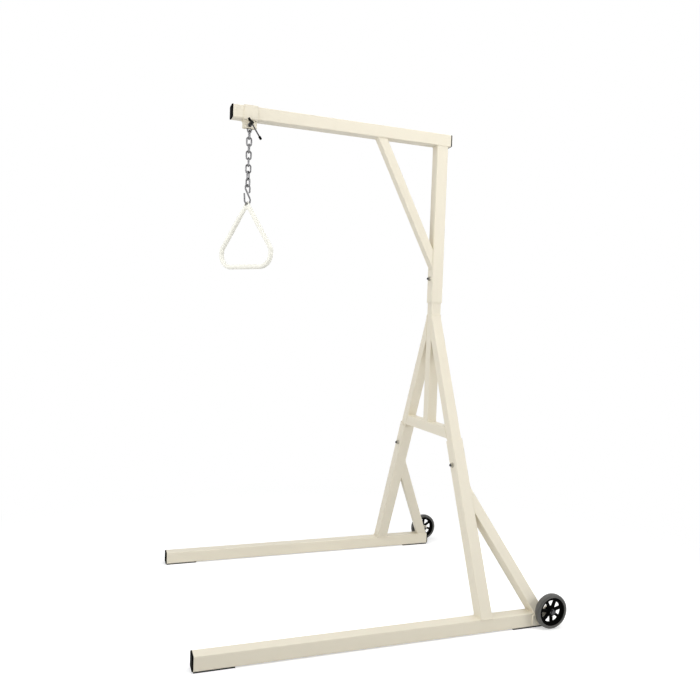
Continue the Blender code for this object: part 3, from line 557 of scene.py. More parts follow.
brace_low = Vector((COLUMN_X - HALF, 0, BRACE_LOW_Z))
brace_high = Vector((COLUMN_X - BRACE_REACH, 0, BOOM_UNDER))
brace_way = (brace_high - brace_low).normalized()
brace_ends = [(Vector((COLUMN_X - HALF - GAP, 0, 0)), X_AXIS), (Vector((0, 0, BOOM_UNDER - GAP)), Z_AXIS)]
rolled_tube("boom_brace", brace_low, brace_way, Y_AXIS, BRACE_TUBE, brace_ends[0], brace_ends[1])
for name, end in zip(("boom_brace_low_weld", "boom_brace_high_weld"), brace_ends):
    tube_weld(name, brace_low, brace_way, Y_AXIS, BRACE_TUBE, end)
print("weld on tubes:", round(sum(bead_lengths), 2), "m")

# %% [markdown]
# ## Plugs and pads
# Every open end of a main tube is closed with a black plastic plug: a slightly domed face with a rounded
# rim, and a skirt that grips inside the tube. Below, the legs stand on thin black rubber pads. The edges of
# both are rounded by a quarter of a circle.

# %% Tube plugs
PLUG_T, PLUG_DEPTH, PLUG_EDGE_R, PLUG_DOME = 0.006, 0.020, 0.0016, 0.0007
SKIRT_T, SKIRT_TAPER, SKIRT_CORNER_R = 0.0022, 0.0005, 0.0008


def quarter(steps):
    """A quarter turn in equal steps, as pairs of sine and cosine."""
    turns = [math.pi / 2.0 * i / steps for i in range(steps + 1)]
    return [(math.sin(turn), math.cos(turn)) for turn in turns]


def tube_plug(name, end, outward):
    """Domed face, rounded rim and hollow skirt, skinned from the middle of the face inwards."""
    v = outward.cross(Y_AXIS)
    skirt = HALF - WALL - GAP
    inner_r = CORNER_R - WALL
    levels = [(0.2 * HALF, 0.0008, PLUG_T), (0.55 * HALF, 0.002, PLUG_T - 0.0001),
              (0.8 * HALF, 0.003, PLUG_T - 0.0004)]
    for s, c in quarter(5):
        levels.append((HALF - PLUG_EDGE_R * (1.0 - s), CORNER_R - BREAK * (1.0 - s),
                       PLUG_T - PLUG_DOME - PLUG_EDGE_R * (1.0 - c)))
    levels += [(HALF, CORNER_R, GAP), (skirt, inner_r, GAP), (skirt - SKIRT_TAPER, inner_r, -PLUG_DEPTH),
               (skirt - SKIRT_T, SKIRT_CORNER_R, -PLUG_DEPTH), (skirt - SKIRT_T, SKIRT_CORNER_R, GAP * 2)]
    rings = [[end + Y_AXIS * a + v * b + outward * t for a, b in square_section(half, radius, 0.0005)]
             for half, radius, t in levels]
    return skin(name + "_moulded", rings, black_plastic, "frame", (name,), sharp_deg=45.0)


for label, side in SIDES:
    tube_plug(label + "_leg_front_cap", Vector((COLUMN_X - LEG_FRONT, side * LEG_Y, LEG_MIDDLE)), -X_AXIS)
    tube_plug(label + "_leg_rear_cap", Vector((COLUMN_X + LEG_REAR, side * LEG_Y, LEG_MIDDLE)), X_AXIS)
tube_plug("boom_front_cap", boom_front, -X_AXIS)
plug = tube_plug("boom_rear_cap", boom_rear, X_AXIS)
print("faces on a plug:", len(plug.data.polygons))

# %% Pads
PAD_EDGE_R = 0.0020
PAD_END = ((0.0, 0.0010), (0.0003, 0.0003), (0.0010, 0.0))


def foot_pad(name):
    """Thin rubber pad with rounded lower edges, made to the box of its solid."""
    (x0, y0, z0), (x1, y1, z1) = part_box(name)
    rings = []
    places = [(x0 + along, inset) for along, inset in PAD_END]
    places += [(x1 - along, inset) for along, inset in reversed(PAD_END)]
    for x, inset in places:
        ring = [Vector((x, y0 + inset, z1)), Vector((x, y1 - inset, z1))]
        for s, c in quarter(6):
            ring.append(Vector((x, y1 - inset - PAD_EDGE_R * (1.0 - c), z0 + PAD_EDGE_R * (1.0 - s))))
        for s, c in reversed(quarter(6)):
            ring.append(Vector((x, y0 + inset + PAD_EDGE_R * (1.0 - c), z0 + PAD_EDGE_R * (1.0 - s))))
        rings.append(ring)
    return skin(name + "_rubber", rings, pad_rubber, "frame", (name,), sharp_deg=40.0)


for label in ("near", "far"):
    foot_pad(label + "_front_pad")
    pad = foot_pad(label + "_rear_pad")
print("faces on a pad:", len(pad.data.polygons))

# %% [markdown]
# ## Bolts and nuts
# The joints are drawn tight with hexagon bolts and flange nuts. A hexagon is turned on a lathe before it is
# used, so a shallow cone cuts its six corners and leaves the arcs that make a bolt head look real. Here
# that cone is worked into the rings: a ring's points sit lower where the hexagon reaches further out.
# A thread is a cylinder whose radius follows the turn and the height together.

# %% Turned pieces
TURNED = 72
TURNS = [2 * math.pi * i / TURNED for i in range(TURNED)]
CONE_RIM, CONE_SLOPE = 0.955, 0.55
THREAD_DEPTH, THREAD_FLANK, LEAD_IN, LEAD_SLOPE = 0.495, 2.2, 0.0012, 0.9


def hexagon(flats):
    """The reach of a hexagon at each of the turned points."""
    return [flats / 2.0 / math.cos(turn % (math.pi / 3.0) - math.pi / 6.0) for turn in TURNS]


def turned_rings(levels, base, axis):
    """Rings round an axis. A level is (reach, distance), each a number or a list of them round the turn."""
    axis = Vector(axis).normalized()
    u = Z_AXIS if abs(axis.z) < 0.9 else X_AXIS
    u = (u - axis * u.dot(axis)).normalized()
    v = axis.cross(u)
    rings = []
    for reach, distance in levels:
        reaches = reach if isinstance(reach, list) else [reach] * TURNED
        distances = distance if isinstance(distance, list) else [distance] * TURNED
        rings.append([base + axis * t + (u * math.cos(turn) + v * math.sin(turn)) * r
                      for r, t, turn in zip(reaches, distances, TURNS)])
    return rings


def coned_hexagon(flats, low, high):
    """Levels of a hexagon from low to high whose outer corners a cone has cut, top ring last."""
    reach = hexagon(flats)
    rim = flats / 2.0 * CONE_RIM
    cut = [high - (r - rim) * CONE_SLOPE for r in reach]
    return [(reach, low), (reach, cut), (rim, high)]


def thread_levels(radius, pitch, start, end, steps=8):
    """Levels of a screw thread, tapered at its end."""
    levels = []
    sign = 1.0 if end > start else -1.0
    count = max(int(abs(end - start) / pitch * steps), 4)
    depth = pitch * THREAD_DEPTH
    for i in range(count + 1):
        t = start + (end - start) * i / count
        limit = radius - max(0.0, LEAD_IN - abs(end - t)) * LEAD_SLOPE
        reaches = []
        for j in range(TURNED):
            phase = (sign * t / pitch - j / TURNED) % 1.0
            reaches.append(min(radius - depth * min(1.0, THREAD_FLANK * abs(phase - 0.5)), limit))
        levels.append((reaches, t))
    return levels


# %% Joint bolts and flange nuts
BOLT_R, BOLT_PITCH = 0.005, 0.0015
HEAD_T, HEAD_FLATS, DISH_R, DISH_DEEP = 0.0064, 0.016, 0.0052, 0.0002
NUT_T, NUT_FLATS, FLANGE_R, FLANGE_T = 0.0092, 0.016, 0.0105, 0.0029
TIP, THREAD_IN_NUT = 0.005, 0.001
THREAD_R = BOLT_R - 0.0001


def hexagon_bolt(name, seat, direction, shank, thread_from):
    """Hexagon head with its washer face, shank and an open thread; direction runs from head to tip."""
    (reach, low), (_, cut), (rim, high) = coned_hexagon(HEAD_FLATS, HEAD_T * 0.30, HEAD_T)
    levels = [(0.0015, DISH_DEEP - HEAD_T), (DISH_R, DISH_DEEP - HEAD_T), (DISH_R + 2 * DISH_DEEP, -HEAD_T)]
    levels += [(rim, -high), (reach, [-t for t in cut]), (reach, -low)]
    levels += [(FLANGE_R - 0.0012, -0.0016), (FLANGE_R - 0.0003, -0.0010), (FLANGE_R, -0.0005),
               (FLANGE_R, 0.0), (THREAD_R, 0.0), (THREAD_R, thread_from)]
    levels += thread_levels(THREAD_R, BOLT_PITCH, thread_from, shank)
    # The bolt takes the darker zinc copy, which is painted shade and painted dark reflection.
    return skin(name + "_threaded", turned_rings(levels, seat, direction), zinc_painted_shade, "frame", (name,),
                sharp_deg=28.0)


def flanged_nut(name, seat, direction):
    """Hexagon nut on a domed flange; direction runs away from its seat."""
    bore = BOLT_R + 0.0003
    levels = [(bore, 0.0002), (FLANGE_R - 0.0004, 0.0), (FLANGE_R, 0.0004), (FLANGE_R, 0.0010),
              (FLANGE_R - 0.0006, 0.0014)]
    levels += coned_hexagon(NUT_FLATS, FLANGE_T, NUT_T)
    levels += [(bore + 0.0007, NUT_T - 0.0001), (bore, NUT_T - 0.0008)]
    return skin(name + "_coned", turned_rings(levels, seat, direction), bright_zinc, "frame", (name,),
                loop=True, sharp_deg=28.0)


through = MAIN_TUBE + 2 * GAP + NUT_T
for label, at in joint_bolts.items():
    hexagon_bolt(label + "_bolt", at + X_AXIS * (HALF + GAP), -X_AXIS, through + TIP,
                 through - THREAD_IN_NUT)
    flanged_nut(label + "_nut", at - X_AXIS * (HALF + GAP), -X_AXIS)
print("joint bolts:", len(joint_bolts))

# %% [markdown]
# ## Wheels
# A wheel is a black moulded hub with seven openings and a solid grey rubber tyre. Both are lathe work, so
# each starts as a profile spun round the axle. The tyre's profile is eased through a few points, because
# moulded rubber has no hard edges, and a fine mould line runs round its tread.

# %% Tyres
WHEEL_R, WHEEL_W, RIM_R, RIM_T, RIM_INSET = 0.0665, 0.025, 0.0535, 0.0055, 0.0018
AXLE = Vector((COLUMN_X + 0.2665, 0.0, 0.0687))
PLATE_T, WHEEL_STAND, HUB_STAND = 0.005, 0.0057, 0.001
HALF_W = WHEEL_W / 2.0
PLATE_OUT = HALF + GAP + PLATE_T
WHEEL_MID = PLATE_OUT + WHEEL_STAND + HALF_W


def eased(points, steps=4):
    """A smooth line through a few points."""
    line = []
    for i in range(len(points) - 1):
        p0 = points[max(i - 1, 0)]
        p1, p2 = points[i], points[i + 1]
        p3 = points[min(i + 2, len(points) - 1)]
        for j in range(steps):
            t = j / steps
            line.append(tuple(0.5 * (2 * b + (c - a) * t + (2 * a - 5 * b + 4 * c - d) * t * t
                                     + (3 * b - a - 3 * c + d) * t ** 3)
                              for a, b, c, d in zip(p0, p1, p2, p3)))
    line.append(points[-1])
    return line


def tyre(name, centre, outward, body):
    """Solid tyre, skinned from its seat on the rim over the tread and back."""
    half = eased([(RIM_R + 0.0004, HALF_W - RIM_INSET), (RIM_R + 0.0022, HALF_W - 0.0006),
                  (RIM_R + 0.0060, HALF_W), (WHEEL_R - 0.0048, HALF_W - 0.0007),
                  (WHEEL_R - 0.0017, HALF_W - 0.0031), (WHEEL_R - 0.0003, HALF_W - 0.0072)])
    half += [(WHEEL_R - 0.0002, 0.0009), (WHEEL_R - 0.0001, 0.0003)]
    levels = [(reach, -t) for reach, t in half] + half[::-1]
    return skin(name + "_rubber", turned_rings(levels, centre, outward), tyre_rubber, body, (name,),
                loop=True, sharp_deg=60.0)


print("wheel:", round(WHEEL_R * 2000), "by", round(WHEEL_W * 1000), "mm")

# %% [markdown]
# The hub's web is cut by a ring of seven wedge-shaped openings. Cutting them with a Boolean keeps the lathe
# shape exact, and a narrow bevel afterwards rounds every edge that the cut left, as a mould would.

# %% Cutting helpers
BEVEL_FROM, CUT_SHARP_FROM = math.radians(35.0), math.radians(38.0)


def cutter(name, *tubes):
    """A hidden solid to cut with, closed over one or more sets of rings."""
    verts, faces = [], []
    for rings in tubes:
        faces += ring_faces(len(rings), len(rings[0]), first=len(verts))
        verts += [tuple(p) for ring in rings for p in ring]
    mesh = bpy.data.meshes.new(name)
    mesh.from_pydata(verts, [], faces)
    return bpy.data.objects.new(name, mesh)


def carve(piece, tool, edge=0.0):
    """Cuts a piece, rounds the cut's edges and keeps the result as plain mesh."""
    scene.collection.objects.link(tool)
    step = piece.modifiers.new("cut", "BOOLEAN")
    step.operation = "DIFFERENCE"
    step.solver = "EXACT"
    step.object = tool
    if edge > 0.0:
        bevel = piece.modifiers.new("rounded_edges", "BEVEL")
        bevel.width = edge
        bevel.segments = 2
        bevel.limit_method = "ANGLE"
        bevel.angle_limit = BEVEL_FROM
    bpy.context.view_layer.update()
    graph = bpy.context.evaluated_depsgraph_get()
    plain = bpy.data.meshes.new_from_object(piece.evaluated_get(graph))
    piece.modifiers.clear()
    plain.name = piece.data.name + "_carved"
    piece.data = plain
    bpy.data.objects.remove(tool)
    plain.shade_smooth()
    plain.set_sharp_from_angle(angle=CUT_SHARP_FROM)
    return piece


# %% Hubs
BOSS_R, WEB_HALF, SPOKES, SPOKE_HALF = 0.0165, 0.004, 7, 0.0053
OPENING_LOW, OPENING_HIGH, HUB_EDGE = 0.003, 0.0060, 0.0005
SPOKE_TURN = math.radians(-9.0)
HEAD_PLAY, AXLE_TIP = 0.0006, 0.003
RIM_IN = RIM_R - RIM_T


def hub_openings(name, centre, outward):
    """Seven wedge-shaped prisms to cut the web with."""
    v = outward.cross(X_AXIS)
    near, far = BOSS_R + OPENING_LOW, RIM_IN - OPENING_HIGH
    step = math.pi / SPOKES
    wide = step - math.asin(SPOKE_HALF / far)
    narrow = step - math.asin(SPOKE_HALF / near)
    corners = [(far - 0.0022, -wide), (far - 0.0006, -wide * 0.92)]
    corners += [(far, wide * k / 4.0) for k in range(-3, 4)]
    corners += [(far - 0.0006, wide * 0.92), (far - 0.0022, wide), (near + 0.0010, narrow * 1.1),
                (near, narrow * 0.7), (near, -narrow * 0.7), (near + 0.0010, -narrow * 1.1)]
    prisms = []
    for number in range(SPOKES):
        middle = SPOKE_TURN + 2 * math.pi * number / SPOKES
        prisms.append([[centre + outward * t + X_AXIS * (r * math.cos(middle + a))
                        + v * (r * math.sin(middle + a)) for r, a in corners] for t in (-HALF_W, HALF_W)])
    return cutter(name, *prisms)


def hub(name, centre, outward, body):
    """Moulded hub: boss, web with openings and the rim band that holds the tyre."""
    bore = BOLT_R + 0.0002
    inner = PLATE_OUT + HUB_STAND - WHEEL_MID
    outer = HALF_W - RIM_INSET
    web = [(BOSS_R + 0.0001, WEB_HALF + 0.0012), (BOSS_R + 0.0012, WEB_HALF),
           (RIM_IN - 0.0010, WEB_HALF), (RIM_IN + 0.0001, WEB_HALF + 0.0010),
           (RIM_IN + 0.0008, outer - 0.0004), (RIM_IN + 0.0012, outer), (RIM_R - 0.0003, outer),
           (RIM_R, outer - 0.0003)]
    levels = [(bore, inner), (BOSS_R - 0.0045, inner), (BOSS_R - 0.0040, inner + 0.0003),
              (BOSS_R, inner + 0.006)]
    levels += [(reach, -t) for reach, t in web] + web[::-1]
    levels += [(BOSS_R - 0.0002, outer - 0.0022), (BOSS_R - 0.0008, outer - 0.0008),
               (BOSS_R - 0.0022, outer), (bore + 0.0006, outer), (bore, outer - 0.0006)]
    piece = skin(name + "_moulded", turned_rings(levels, centre, outward), black_plastic, body, (name,),
                 loop=True, sharp_deg=45.0)
    return carve(piece, hub_openings(name + "_openings", centre, outward), HUB_EDGE)


# %% Both wheels on their bolts
head_seat = WHEEL_MID + HALF_W - RIM_INSET + HEAD_PLAY
axle_tip = HALF - NUT_T - AXLE_TIP
for label, side in SIDES:
    out = Y_AXIS * side
    base = Vector((AXLE.x, side * LEG_Y, AXLE.z))
    centre = base + out * WHEEL_MID
    tyre(label + "_tyre", centre, out, label + "_wheel")
    wheel = hub(label + "_hub", centre, out, label + "_wheel")
    hexagon_bolt(label + "_axle_bolt", base + out * head_seat, -out, head_seat - axle_tip,
                 head_seat - axle_tip - TIP)
    flanged_nut(label + "_axle_nut", base + out * HALF, -out)
print("hub faces:", len(wheel.data.polygons))

# %% [markdown]
# Each axle is carried by a flat steel plate welded to the outside of the leg. Its outline wraps round the
# axle and three corners on the leg, and all its edges are broken so that the powder holds on them.

# %% Wheel brackets
BRACKET_R, AXLE_EYE_R, PLATE_BREAK, PLATE_STEP = 0.004, 0.0135, 0.0006, 0.0016
BRACKET_FRONT, BRACKET_REAR, BRACKET_LOW, BRACKET_HIGH = 0.050, 0.006, 0.040, 0.010


def round_the(circles, steps=48):
    """The outline of a belt stretched round some circles."""
    turns = [2 * math.pi * i / steps for i in range(steps)]
    points = sorted({(round(x + r * math.cos(turn), 7), round(z + r * math.sin(turn), 7))
                     for x, z, r in circles for turn in turns})
    outline = []
    for sequence in (points, points[::-1]):
        chain = []
        for p in sequence:
            while len(chain) > 1 and ((chain[-1][0] - chain[-2][0]) * (p[1] - chain[-2][1])
                                      - (chain[-1][1] - chain[-2][1]) * (p[0] - chain[-2][0])) <= 1e-9:
                chain.pop()
            chain.append(p)
        outline += chain[:-1]
    return outline


back, top = COLUMN_X + LEG_REAR, LEG_TOP
belt = round_the([(back - BRACKET_FRONT, top - BRACKET_LOW, BRACKET_R),
                  (back - BRACKET_REAR, top - BRACKET_LOW, BRACKET_R), (AXLE.x, AXLE.z, AXLE_EYE_R),
                  (back - BRACKET_FRONT, top - BRACKET_HIGH, BRACKET_R)])
even, _ = even_points([(x, 0, z) for x, z in belt], True, PLATE_STEP)
middle = sum(even, Vector()) / len(even)
plate = ((PLATE_BREAK, 0.0), (0.0, PLATE_BREAK), (0.0, PLATE_T - PLATE_BREAK), (PLATE_BREAK, PLATE_T))
weld_line = [(0.004, 0.044), (0.048, 0.044), (0.0515, 0.0435), (0.0535, 0.0415), (0.054, 0.038),
             (0.054, 0.012), (0.053, 0.0082), (0.050, 0.0055)]
for label, side in SIDES:
    face = side * (LEG_Y + HALF + GAP)
    rings = []
    for inset, t in plate:
        rings.append([Vector((p.x + (middle.x - p.x) * inset / (p - middle).length, face + side * t,
                              p.z + (middle.z - p.z) * inset / (p - middle).length)) for p in even])
    bracket = label + "_wheel_bracket"
    skin(bracket + "_plate", rings, cream_paint, "frame", (bracket,), sharp_deg=30.0)
    weld_bead(label + "_bracket_weld", [Vector((back - x, face, top - z)) for x, z in weld_line], Y_AXIS,
              closed=False)
print("all welds:", round(sum(bead_lengths), 2), "m")

# %% [markdown]
# ## The clamp
# A steel strap is bent round the boom and its two ears hang below. A screw through the ears draws them
# together with a T-handle, so the clamp grips anywhere along the boom. The strap is one section, a flat
# bar with rounded edges, carried along its folded line.

# %% Strap line
CLAMP_X = COLUMN_X - 0.8445
CLAMP_L, STRAP_T, STRAP_PLAY, EAR_GAP, EAR_DROP = 0.055, 0.003, 0.0004, 0.012, 0.0324
STRAP_BEND, STRAP_EDGE, SCREW_HOLE_R = 0.0012, 0.0006, 0.0043
SCREW = Vector((CLAMP_X, 0.0, BOOM_UNDER - 0.0190))


def folded(points, radii, steps=8, closed=False):
    """A line whose corners are replaced by arcs."""
    pairs = []
    total = len(points)
    for i in range(total):
        if not closed and i in (0, total - 1):
            pairs.append(tuple(points[i]))
            continue
        at = Vector(points[i])
        first = (at - Vector(points[i - 1])).normalized()
        second = (Vector(points[(i + 1) % total]) - at).normalized()
        turn = first.angle(second)
        across = (second - first * math.cos(turn)) / math.sin(turn)
        start = at - first * radii[i] * math.tan(turn / 2.0)
        for j in range(steps + 1):
            t = turn * j / steps
            p = start + first * radii[i] * math.sin(t) + across * radii[i] * (1.0 - math.cos(t))
            pairs.append((p.x, p.y))
    return pairs


def both_sides(pairs):
    """Half a line, and its mirror image back to the other end."""
    return pairs + [(-a, b) for a, b in reversed(pairs)]


ear_in, ear_out = EAR_GAP / 2.0, EAR_GAP / 2.0 + STRAP_T
grip_half = HALF + STRAP_PLAY
ear_low, under, over = BOOM_UNDER - EAR_DROP, BOOM_UNDER - STRAP_PLAY, HEIGHT + STRAP_PLAY
tight, wide = [STRAP_BEND], [STRAP_BEND + STRAP_T]
half_in = [(-ear_in, ear_low), (-ear_in, under), (-grip_half, under), (-grip_half, over)]
half_out = [(-ear_out, ear_low), (-ear_out, under - STRAP_T), (-grip_half - STRAP_T, under - STRAP_T),
            (-grip_half - STRAP_T, over + STRAP_T)]
line_in = folded(both_sides(half_in), wide * 2 + tight * 4 + wide * 2)
line_out = folded(both_sides(half_out), tight * 2 + wide * 4 + tight * 2)
print("clamp at x =", round(CLAMP_X, 4), "strap line of", len(line_in), "points")

# %% [markdown]
# The section is written as shares: how far across the strap from its middle, and how deep from its inside
# face to its outside face. Each ear ends in a smaller ring, which rounds its cut edge. A round bar cuts the
# screw's hole through both ears.

# %% Strap
EAR_TIP_X, EAR_TIP_Y = 0.02, 0.4
edge_x, edge_t = STRAP_EDGE / (CLAMP_L / 2.0), STRAP_EDGE / STRAP_T
section = both_sides([(1.0 - edge_x, 0.0), (1.0 - 0.3 * edge_x, 0.3 * edge_t), (1.0, edge_t),
                      (1.0, 1.0 - edge_t), (1.0 - 0.3 * edge_x, 1.0 - 0.3 * edge_t), (1.0 - edge_x, 1.0)])
rings = []
for a, b in zip(line_in, line_out):
    rings.append([Vector((CLAMP_X + x * CLAMP_L / 2.0, a[0] + (b[0] - a[0]) * t, a[1] + (b[1] - a[1]) * t))
                  for x, t in section])
for end in (0, -1):
    middle = sum(rings[end], Vector()) / len(rings[end])
    tip = [p + Vector(((middle.x - p.x) * EAR_TIP_X, (middle.y - p.y) * EAR_TIP_Y, 0.0))
           for p in rings[end]]
    for p in rings[end]:
        p.z += STRAP_EDGE
    if end == 0:
        rings.insert(0, tip)
    else:
        rings.append(tip)
strap = skin("clamp_strap_bent", rings, cream_paint, "clamp", ("clamp_strap",), sharp_deg=35.0)


def round_cutter(name, at, axis, radius, reach=0.02):
    """A hidden round bar to cut a hole with."""
    return cutter(name, turned_rings([(radius, -reach), (radius, reach)], at, axis))


carve(strap, round_cutter("ear_holes", SCREW, Y_AXIS, SCREW_HOLE_R))
print("strap faces:", len(strap.data.polygons))

# %% [markdown]
# The T-screw has a threaded shank, a neck and a drilled hub. A zinc bar slides through the hub from one
# black cap to the other. A washer takes the thrust on the near ear and a nut holds the far ear.

# %% T-screw
SCREW_R, SCREW_PITCH, NECK_R, HUB_R, HUB_L = 0.004, 0.00125, 0.0065, 0.0078, 0.016
WASHER_T, WASHER_R, NUT_AF, NUT_HIGH, TAIL = 0.0024, 0.009, 0.013, 0.0065, 0.0035
BAR_PLANE, BAR_HOLE_R, BAR_TILT = 0.039, 0.0033, math.radians(33.5)
neck_at = ear_out + WASHER_T + 2 * GAP
hub_at, hub_end = BAR_PLANE - HUB_L / 2.0, BAR_PLANE + HUB_L / 2.0
tail_at = -(ear_out + GAP + NUT_HIGH + TAIL)
levels = thread_levels(SCREW_R, SCREW_PITCH, neck_at - 0.0012, tail_at, steps=7)[::-1]
levels += [(SCREW_R - 0.0006, neck_at - 0.0008), (SCREW_R - 0.0006, neck_at), (NECK_R - 0.0006, neck_at),
           (NECK_R, neck_at + 0.0006), (NECK_R, hub_at - 0.0008), (NECK_R + 0.0002, hub_at),
           (HUB_R - 0.0008, hub_at + 0.0002), (HUB_R, hub_at + 0.0010), (HUB_R, hub_end - 0.0014),
           (HUB_R - 0.0005, hub_end - 0.0006), (HUB_R - 0.0016, hub_end), (0.0020, hub_end)]
screw = skin("clamp_screw_threaded", turned_rings(levels, SCREW, -Y_AXIS), black_steel, "t_screw",
             ("clamp_screw",), sharp_deg=30.0)
down = Vector((math.sin(BAR_TILT), 0.0, -math.cos(BAR_TILT)))
bar_at = SCREW - Y_AXIS * BAR_PLANE
carve(screw, round_cutter("bar_hole", bar_at, down, BAR_HOLE_R))
print("T-screw faces:", len(screw.data.polygons))

# %% Washer and nut
levels = [(SCREW_HOLE_R, 0.0002), (0.0046, 0.0), (WASHER_R - 0.0003, 0.0), (WASHER_R, 0.0003),
          (WASHER_R, WASHER_T - 0.0004), (WASHER_R - 0.0005, WASHER_T), (0.0047, WASHER_T),
          (SCREW_HOLE_R, WASHER_T - 0.0003)]
skin("clamp_washer_turned", turned_rings(levels, SCREW - Y_AXIS * (ear_out + GAP), -Y_AXIS), zinc_plate,
     "clamp_thrust", ("clamp_washer",), loop=True, sharp_deg=35.0)

nut_reach, nut_rim = hexagon(NUT_AF), NUT_AF / 2.0 * CONE_RIM
levels = [(SCREW_HOLE_R, 0.0004), (0.0050, 0.0), (nut_rim, 0.0),
          (nut_reach, [(r - nut_rim) * CONE_SLOPE for r in nut_reach])]
levels += coned_hexagon(NUT_AF, 0.0, NUT_HIGH)[1:] + [(0.0050, NUT_HIGH), (SCREW_HOLE_R, NUT_HIGH - 0.0005)]
nut = skin("clamp_nut_coned", turned_rings(levels, SCREW + Y_AXIS * (ear_out + GAP), Y_AXIS), zinc_plate,
           "clamp", ("clamp_nut",), loop=True, sharp_deg=28.0)
print("nut faces:", len(nut.data.polygons))

# %% Sliding bar and its caps
BAR_R, BAR_L, BAR_EDGE = 0.003, 0.0945, 0.0006
BAR_CAP_R, BAR_CAP_L, BAR_CAP_EDGE, CAP_SKIN = 0.005, 0.014, 0.0026, 0.0016
bar_high = -(HUB_R + GAP + BAR_CAP_L)
bar_low = bar_high + BAR_L
first, last = bar_high + CAP_SKIN + GAP, bar_low - CAP_SKIN - GAP
levels = [(0.0012, first), (BAR_R - BAR_EDGE, first), (BAR_R, first + BAR_EDGE), (BAR_R, last - BAR_EDGE),
          (BAR_R - BAR_EDGE, last), (0.0012, last)]
# The sliding bar takes the darker zinc copy, which is painted shade and painted dark reflection.
skin("tommy_bar_drawn", turned_rings(levels, bar_at, down), zinc_painted_shade, "t_bar", ("tommy_bar",),
     sharp_deg=40.0)
for node, closed_end, mouth in (("bar_upper_cap", bar_high, bar_high + BAR_CAP_L),
                                ("bar_lower_cap", bar_low, bar_low - BAR_CAP_L)):
    sign = 1.0 if mouth > closed_end else -1.0
    levels = [(0.0008, closed_end)]
    levels += [(BAR_CAP_R - BAR_CAP_EDGE * (1.0 - s), closed_end + sign * BAR_CAP_EDGE * (1.0 - c))
               for s, c in quarter(6)]
    levels += [(BAR_CAP_R, mouth - sign * 0.0012), (BAR_CAP_R, mouth - sign * 0.0004),
               (BAR_CAP_R - 0.0004, mouth), (BAR_R + 2 * GAP, mouth), (BAR_R + GAP, mouth - sign * GAP),
               (BAR_R + GAP, closed_end + sign * CAP_SKIN)]
    skin(node + "_dipped", turned_rings(levels, bar_at, down), black_plastic, "t_bar", (node,),
         sharp_deg=40.0)
print("sliding bar:", round(BAR_L * 1000, 1), "mm over its caps")

# %% [markdown]
# ## Ring, chain and hook
# These are bent from round wire. A wire keeps its section square to its line, so one helper carries a
# circle along a flat path. The links are closed with a resistance weld, which leaves a small swelling on
# one straight side. The hook's two ends are cut and tumbled, so they are rounded.

# %% Wire helpers
WIRE_SIDES = 20
WIRE_TURNS = [2 * math.pi * (j + 0.5) / WIRE_SIDES for j in range(WIRE_SIDES)]
WELD_SWELL, WELD_LENGTH = 0.13, 0.0028
END_BULGE = 0.62
END_TURNS = [math.pi / 2.0 * k / 3.4 for k in (1, 2, 3)]


def arc(centre, radius, start, end, steps):
    """Points on an arc as pairs (across, up), angles in degrees."""
    turns = [math.radians(start + (end - start) * i / steps) for i in range(steps + 1)]
    return [(centre[0] + radius * math.cos(turn), centre[1] + radius * math.sin(turn)) for turn in turns]


def stand_up(pairs, turn_deg):
    """Pairs stood up in a vertical plane through the chain's line, and that plane's normal."""
    turn = math.radians(turn_deg)
    across = Vector((math.cos(turn), math.sin(turn), 0.0))
    return [Vector((CLAMP_X, 0.0, 0.0)) + across * a + Z_AXIS * b for a, b in pairs], across.cross(Z_AXIS)


def bent_wire(points, normal, radius, closed, weld_at):
    """Rings of round wire along a path, with an optional weld swelling or rounded ends."""
    total = len(points)
    rings = []
    for i, point in enumerate(points):
        before = points[i - 1] if closed or i > 0 else point
        after = points[(i + 1) % total] if closed or i < total - 1 else point
        side = (after - before).normalized().cross(normal)
        r = radius
        if weld_at is not None:
            away = (point - weld_at).length / WELD_LENGTH
            r *= 1.0 + WELD_SWELL * math.exp(-away * away * 2.0)
        rings.append([point + side * r * math.cos(turn) + normal * r * math.sin(turn)
                      for turn in WIRE_TURNS])
    if closed:
        return rings
    for end, outward in ((0, points[0] - points[1]), (-1, points[-1] - points[-2])):
        outward = outward.normalized()
        centre = points[end]
        flat_ring = list(rings[end])
        for turn in END_TURNS:
            tip = [centre + (p - centre) * math.cos(turn) + outward * radius * END_BULGE * math.sin(turn)
                   for p in flat_ring]
            if end == 0:
                rings.insert(0, tip)
            else:
                rings.append(tip)
    return rings


def wire_piece(node, pairs, turn_deg, radius, body, step=0.0010, closed=True, weld_at=None):
    """Skins zinc-plated wire along a flat path and gives the length of the wire."""
    path, normal = stand_up(pairs, turn_deg)
    path, length = even_points(path, closed, step)
    skin(node + "_wire", bent_wire(path, normal, radius, closed, weld_at), zinc_plate, body, (node,),
         loop=closed, sharp_deg=70.0)
    return length


# %% [markdown]
# The ring that the chain hangs from is a rounded triangle: one bend below, which keeps the chain in the
# middle, and two tighter corners above, with a straight run over the screw. Its sides touch the bends at
# both of their ends, so their slant is worked out from the two radii.

# %% Hanger ring
RING_WIRE_R, RING_HALF_W, RING_DROP, RING_TIP_R, RING_TOP_R = 0.00325, 0.0115, 0.0274, 0.0072, 0.006
ring_low = SCREW.z - RING_DROP
ring_high = SCREW.z + SCREW_R + GAP + RING_WIRE_R
tip_at = (0.0, ring_low + RING_TIP_R)
shoulder = (RING_HALF_W - RING_TOP_R, ring_high - RING_TOP_R)
climb = shoulder[1] - tip_at[1]
side_deg = math.degrees(math.atan2(shoulder[0], climb)
                        + math.asin((RING_TOP_R - RING_TIP_R) / math.hypot(shoulder[0], climb)))
pairs = arc(tip_at, RING_TIP_R, side_deg - 180, -side_deg, 18)
pairs += arc(shoulder, RING_TOP_R, -side_deg, 90, 14)
pairs += arc((-shoulder[0], shoulder[1]), RING_TOP_R, 90, 180 + side_deg, 14)
ring_length = wire_piece("hanger_ring", pairs, 0.0, RING_WIRE_R, "ring", step=0.0009)
print("ring wire:", round(ring_length * 1000), "mm")

